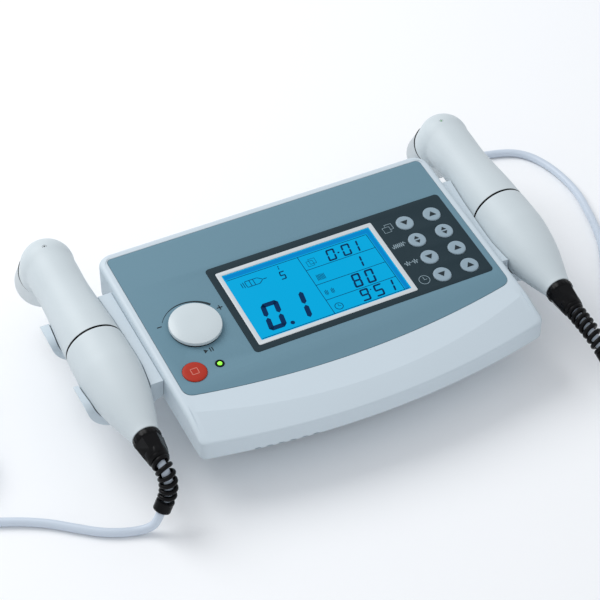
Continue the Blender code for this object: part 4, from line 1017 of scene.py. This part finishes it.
def make_cradle(side):
    """Trough under the handle, with two round-cornered arms on its outer side."""
    ends, gap_ends, clear = (-52.5, 35.5), (-24, 10.5), 0.1
    sign = 1 if side == "right" else -1
    wall, lip, outer = abs(SEAM_X[side]) - CASE_HALF_WIDTH + 2, 3.0, 25.6
    arm_end, top, foot = ARM_END[side], ARM_TOP[side], -26
    rings = []
    for y in (ends[0], -50, -46, -42, -38, -34, -29, -24, -18, -12, -6, 0, 6, 12, 18, 24, 30, ends[1]):
        bore = held_radius(y) + 0.7
        section = [(wall, lip), (wall, -10.5), *arc_points((0, 0), outer, -42, arm_end, 40),
                   *arc_points((0, 0), bore, arm_end, degrees(asin(lip / bore)), 56)]
        section = fillet([(-sign * x, z) for x, z in section], 0.8, 3, closed=True)
        rings.append([(x, y, z) for x, z in section])
    mesh = loft(f"{side}_cradle", rings)
    low, high = sorted((sign * 10.5, sign * 33))
    gap = box_cutter((low, gap_ends[0], -40), (high, gap_ends[1], 12), 3.0)
    comb = [(-70, 20), (-70, foot)]
    for start, end in ((ends[0] - clear, gap_ends[0] + clear), (gap_ends[1] - clear, ends[1] + clear)):
        comb += [(start, foot), (start, top), (end, top), (end, foot)]
    comb += [(50, foot), (50, 20)]
    rounding = plate("comb", [fillet(comb, 11.0, 10, closed=True)], low, high)
    rounding.transform(Matrix(((0, 0, 1, 0), (1, 0, 0, 0), (0, 1, 0, 0), (0, 0, 0, 1))))
    low, high = sorted((sign * 100, sign * (CASE_HALF_WIDTH + 0.3)))
    wall_side = box_cutter((low, -80, 20), (high, 80, 90))
    matrix = seam_frame(side)
    wall_side[0].transform(matrix.inverted())
    mesh = cut(mesh, [gap, (rounding, Matrix.Identity(4)), wall_side])
    obj = add(f"{side}_cradle", mesh, CASE, "console", matrix, angle=35, replaces=(f"{side}_holder",),
              slot="white_case")
    bevel = obj.modifiers.new("soft_edges", "BEVEL")
    bevel.width, bevel.segments, bevel.limit_method, bevel.angle_limit = 1.2 * MM, 3, "ANGLE", radians(50)


# === applicators ============================================================================

def carry(side, name, mesh, surface, place, node, slot, **look):
    """Adds a piece that rides on an applicator and may stand for one of its nodes."""
    replaces = (f"{side}_{node}",) if node else ()
    add(f"{side}_{name}", mesh, surface, f"{side}_applicator", place, replaces=replaces, slot=slot, **look)


HANDLE_STATIONS = ((-5.3, 20.8), (-10, 21.1), (-25, 21.5), (-35, 21.4), (-50, 19.6), (-62, 17.2),
                   (-75, 13.6), (-85, 10.6), (-89, 9.7))
NECK_STATIONS = ((-7.0, 20.9), (-4.25, 20.8), (12, 20.2), (25, 19.2), (38, 18.3), (50, 17.8), (65, 18.1),
                 (80.5, 18.3))


def make_handle(side):
    curve = [tuple(p) for p in catmull([(radius, y) for y, radius in HANDLE_STATIONS], 6)]
    start = HANDLE_STATIONS[0][1] - 0.3, HANDLE_STATIONS[0][0] + 0.1
    profile = [(0, start[1]), start, *curve[:-1], (9.6, -88.9), (9.2, -89.0), (0, -89.0)]
    mesh = lathe(f"{side}_handle", profile, 96)
    place = seam_frame(side) @ OUTWARD
    carry(side, "handle", mesh, APPLICATOR, place, "handle_shell", "white_applicator", angle=40)
    half_width = 1.1
    low, high = SEAM_ALONG - half_width, SEAM_ALONG + half_width
    seam = lathe(f"{side}_seam", [(20.5, low), (20.5, high), (19.0, high), (19.0, low)], 96, ring=True)
    carry(side, "seam", seam, BLACK, place, None, "black_plastic")


def make_head(side):
    """Neck and domed head, melted together and smoothed, then cut square at the seam and the ring."""
    dome_radius, dome_height, dome_back, ring_drop, seam_gap = 19.3, 18.4, 1.0, 13.1, 0.95
    seam = seam_frame(side)
    head = Matrix.Translation((0, HEAD_ALONG * MM, 0)) @ Matrix.Rotation(HEAD_TILT, 4, "X")
    neck = [tuple(p) for p in catmull([(radius, y) for y, radius in NECK_STATIONS], 4)]
    neck_mesh = lathe("neck", [(0, neck[0][1]), *neck, (0, neck[-1][1])], 72)
    neck_mesh.transform(OUTWARD)
    dome = [(0, dome_height)] + [(dome_radius * cos(radians(angle)), dome_height * sin(radians(angle)))
                                 for angle in range(80, -1, -10)]
    dome_mesh = lathe("dome", [*dome, (18.8, -17), (0, -17)], 72)
    dome_mesh.transform(Matrix.Translation((0, -dome_back * MM, 0)) @ head)
    melted = cut(neck_mesh, [(dome_mesh, Matrix.Identity(4))], "UNION")
    obj = bpy.data.objects.new("melt", melted)
    bpy.context.scene.collection.objects.link(obj)
    remesh = obj.modifiers.new("melt", "REMESH")
    remesh.mode, remesh.voxel_size = "VOXEL", 0.8 * MM
    relax = obj.modifiers.new("relax", "SMOOTH")
    relax.factor, relax.iterations = 0.5, 26
    bpy.context.view_layer.update()
    mesh = bpy.data.meshes.new_from_object(obj.evaluated_get(bpy.context.evaluated_depsgraph_get()))
    bpy.data.objects.remove(obj, do_unlink=True)
    bm = bmesh.new()
    bm.from_mesh(mesh)
    bpy.data.meshes.remove(mesh)
    down = (head.to_3x3() @ Vector((0, 0, -1))).normalized()
    ring_plane = head.translation + down * ring_drop * MM
    seam_plane = Vector((0, (SEAM_ALONG + seam_gap) * MM, 0))
    for point, normal in ((seam_plane, Vector((0, -1, 0))), (ring_plane, down)):
        bmesh.ops.bisect_plane(bm, geom=[*bm.verts, *bm.edges, *bm.faces], plane_co=point, plane_no=normal,
                               clear_outer=True)
        bmesh.ops.holes_fill(bm, edges=[edge for edge in bm.edges if edge.is_boundary])
    carry(side, "head", finish_bmesh(f"{side}_head", bm), APPLICATOR, seam, "head_housing",
          "white_applicator", angle=50)
    top = seam @ Matrix.Translation((0, HEAD_ALONG * MM, 0)) @ Matrix.Rotation(LIGHT_ROLL[side], 4, "Y")
    well = lathe("well", [(1.3, 17.8), (1.4, 18.4), (1.6, 18.35), (1.6, 16.7), (1.3, 16.7)], 40, ring=True)
    carry(side, "light_ring", well, BLACK, top, None, "black_plastic")
    lens = lathe("lens", [(0, 18.45), (0.8, 18.4), (1.15, 18.2), (1.25, 17.9), (1.25, 12), (0, 12)], 40)
    lamp = GREEN_DIM if side == "right" else GREEN_OFF
    carry(side, "light_lens", lens, lamp, top, "head_led", "led_green")
    ring = fillet([(19.0, -13.0), (19.0, -14.3), (15.8, -14.3), (15.8, -13.0)], 0.2, 3, closed=True)
    carry(side, "black_ring", lathe("ring", ring, 96, ring=True), BLACK, seam @ head, "isolation_ring",
          "black_rubber")
    cup = [(0, -31.2), (15.5, -31.2), (15.5, -14.5), (18.6, -14.5), (18.7, -14.8), (19.0, -20),
           (19.5, -29), (19.7, -32.2), (19.6, -32.9), (19.3, -33.4), (18.6, -33.7), (16.0, -33.7), (0, -33.7)]
    carry(side, "treatment_face", lathe("face", cup, 96), ALUMINIUM, seam @ head, "sound_head",
          "aluminium", local=True)


def make_gland(side):
    """Collar against the tail, a hexagonal dome nut and the mouth that the lead leaves by."""
    collar = fillet([(0, -80.5), (5.9, -80.5), (5.9, -89.2), (9.4, -89.2), (9.6, -89.8), (9.6, -93.6),
                     (9.0, -94.2), (8.4, -95.2), (0, -95.2)], 0.35, 3)
    corner = 17.5 / cos(pi / 6) / 2
    prism = lathe("nut", [(0, -94.6), (corner, -94.6), (corner * 0.84, -107.2), (0, -107.2)], 6)
    crown = fillet([(0, -94.0), (10.4, -94.0), (10.1, -95.4), (9.8, -97.0), (9.0, -103.6), (8.1, -106.6),
                    (7.6, -109), (0, -109)], 0.8, 3)
    nut = cut(prism, [(lathe("crown", crown, 64), Matrix.Identity(4))], "INTERSECT")
    throat = fillet([(0, -104), (7.9, -104), (7.7, -107.6), (7.3, -109), (0, -109)], 0.4, 3)
    bm = bmesh.new()
    for part in (lathe("collar", collar, 64), nut, lathe("throat", throat, 64)):
        join(bm, part)
    knurl(bm, 20, (9.45, -0.55, -93.2), (9.85, 0.55, -90.2))
    carry(side, "gland", finish_bmesh(f"{side}_gland", bm), GLOSS_BLACK, seam_frame(side) @ OUTWARD,
          "cable_gland", "black_plastic", angle=28)


def relief_line(side, spacing):
    """The drooping line from the gland's mouth to the end of the bend relief, in millimetres."""
    seam = seam_frame(side)
    forward = (seam.to_3x3() @ Vector((0, -1, 0))).normalized()
    start = seam.translation / MM + forward * 109.3
    end, heading = RELIEF_END[side]
    inlet, outlet = start + forward * 2, end - heading * 8
    reach = (outlet - inlet).length * 0.42
    controls = (inlet, inlet + forward * reach, outlet - heading * reach, outlet)
    line = [start]
    for step in range(41):
        t = step / 40
        weights = ((1 - t) ** 3, 3 * t * (1 - t) ** 2, 3 * t * t * (1 - t), t ** 3)
        line.append(sum((c * w for c, w in zip(controls, weights)), Vector()))
    return even([*line, end], spacing)


def make_relief(side):
    """Spiral bend relief: a round wire wound round the lead, ending in a short ferrule."""
    spacing, ferrule, pitch, wire = 0.5, 16, 4.9, 1.65
    line = relief_line(side, spacing)
    collar_start = len(line) - 1 - ferrule
    frames = frames_along(line)
    total = collar_start + 2
    turns = total * spacing / pitch
    steps = int(turns * 28)
    points = []
    for step in range(steps + 1):
        share = step / steps
        index = min(int(share * total), total - 1)
        part = share * total - index
        point, normal, binormal = (a.lerp(b, part) for a, b in zip(frames[index], frames[index + 1]))
        angle = 2 * pi * turns * share
        outward = normal.normalized() * cos(angle) + binormal.normalized() * sin(angle)
        points.append(point + outward * (5.2 - 0.6 * share))
    bm = tube("spiral", points, wire, sides=12, into=bmesh.new())
    collar = line[collar_start:]
    tube("ferrule", collar, [5.2, 5.9] + [6.05] * (len(collar) - 4) + [5.9, 5.3], sides=32, into=bm)
    tube("mouth", line[:5], [7.4, 7.4, 7.2, 6.6, 6.0], sides=32, into=bm)
    spiral = finish_bmesh(f"{side}_relief_spiral", bm)
    carry(side, "relief_spiral", spiral, GLOSS_BLACK, None, "bend_relief", "black_plastic")
    core = tube("core", line[2:-2], 3.1, sides=16)
    carry(side, "relief_core", core, LEAD, None, None, "lead_grey")


# === rear wall ==============================================================================

def at_rear(x, z=SOCKET_Z):
    return Matrix.Translation(Vector((x, REAR_FACE, z)) * MM) @ OUTWARD


def make_socket(side, x):
    shell = fillet([(5, -8), (5, 1.6), (5.5, 1.9), (7.6, 1.9), (7.9, 1.2), (8.9, 1.1), (9.5, 0.7),
                    (9.5, 0.05), (7.6, 0.05), (7.6, -14), (0, -14), (0, -8)], 0.25, 2)
    name = f"{side}_socket_shell"
    add(name, lathe(name, shell, 72), STEEL, "console", at_rear(x), replaces=(f"{side}_socket",),
        slot="steel")


def make_left_socket_pins():
    """The contacts that show in the left socket, which has no plug in it."""
    pins = bmesh.new()
    for i in range(4):
        angle = radians(45 + 90 * i)
        pin = [Vector((2.4 * cos(angle), 2.4 * sin(angle), z)) for z in (-8.2, -3.0, -2.2)]
        tube("pin", pin, [0.55, 0.55, 0.2], sides=16, into=pins)
    add("left_socket_pins", finish_bmesh("left_socket_pins", pins), BRASS, "console",
        at_rear(LEFT_SOCKET_X), slot="steel")


def make_inlet():
    body = fillet([(0, -9), (3.3, -9), (3.3, 1.1), (3.7, 1.4), (6.4, 1.4), (7, 0.9), (7, 0.05), (5.5, 0.05),
                   (5.5, -13), (0, -13)], 0.25, 2)
    add("supply_jack", lathe("supply_jack", body, 64), BLACK, "console", at_rear(INLET_X),
        replaces=("dc_inlet",), slot="black_plastic")
    pin = lathe("pin", [(0, -1.2), (0.6, -1.4), (1.0, -2.0), (1.0, -9.2), (0, -9.2)], 32)
    add("supply_jack_pin", pin, STEEL, "console", at_rear(INLET_X), slot="steel")


def make_switch():
    rim, opening = rounded_box((-8.5, -12, 8.5, 12), 1.2), rounded_box((-5.2, -8.6, 5.2, 8.6), 0.5)
    add("switch_surround", plate("switch_surround", [rim, opening], 0.05, 2.0, 0.3), BLACK, "console",
        at_rear(SWITCH_X), replaces=("switch_frame",), slot="black_plastic")
    side = fillet([(3.4, -7.5), (2.6, 0), (3.4, 7.5), (0.5, 7.8), (-4, 4), (-4, -4), (0.5, -7.8)], 0.5, 3,
                  closed=True)
    mesh = loft("rocker", [[(x, y, z) for y, z in side] for x in (-4.9, -4.5, 4.5, 4.9)])
    place = (Matrix.Translation(Vector((SWITCH_X, REAR_FACE - 0.6, SOCKET_Z)) * MM)
             @ Matrix.Rotation(-ROCKER_TILT, 4, "X"))
    add("rocker_cap", mesh, BLACK, "rocker", place, replaces=("power_rocker",), slot="black_plastic")
    # a stroke on the upper half and a ring on the lower one, standing just off the rocker's faces
    for name, points, closed, half in (("rocker_on_sign", [(0, -1.6), (0, 1.6)], False, 1),
                                       ("rocker_off_sign", circle(1.5, 32), True, -1)):
        ink = Ink(-0.05, 0.05)
        ink.stroke(points, 0.5, closed=closed)
        lean = Matrix.Rotation(radians(-90) + 0.106 * half, 4, "X")
        sign = place @ Matrix.Translation(Vector((0, 3.02, 4.2 * half)) * MM) @ lean
        add(name, ink.mesh(name), PRINT_WHITE, "rocker", sign, slot="white_case")


def make_case_screws():
    profile = fillet([(0, 1.9), (1.7, 1.8), (2.8, 1.1), (3.2, 0.3), (1.6, 0.3), (1.6, -9), (0, -9)], 0.15, 2)
    for name, x in (("case_screw_left", -SCREW_X), ("case_screw_right", SCREW_X)):
        cross = [box_cutter((-reach, -width, 0.9), (reach, width, 2.6))
                 for reach, width in ((1.7, 0.32), (0.32, 1.7))]
        add(f"{name}_head", cut(lathe("screw", profile, 40), cross), STEEL, "console", at_rear(x, SCREW_Z),
            replaces=(name,), slot="steel")


# === what stays from the CAD model ==========================================================

def paint_kept_nodes():
    kept = {"lcd_module": SLATE, "front_board": BOARD, "main_board": BOARD, "output_transformer": COPPER,
            "heat_sink": ALUMINIUM, "encoder_body": BLACK, "encoder_shaft": STEEL, "left_crystal": CERAMIC,
            "right_crystal": CERAMIC}
    for name, surface in kept.items():
        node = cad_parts[name]
        node.data.materials.clear()
        node.data.materials.append(surface)


make_camera()
make_stage()
make_light()
make_leads()
make_upper_case()
make_lower_case()
make_feet()
make_films()
make_display()
make_display_figures()
make_keys()
make_knob()
make_status_led()
make_panel_print()
for applicator_side in ("left", "right"):
    make_cradle(applicator_side)
    make_handle(applicator_side)
    make_head(applicator_side)
    make_gland(applicator_side)
    make_relief(applicator_side)
make_socket("left", LEFT_SOCKET_X)
make_left_socket_pins()
make_socket("right", RIGHT_SOCKET_X)
make_inlet()
make_switch()
make_case_screws()
paint_kept_nodes()
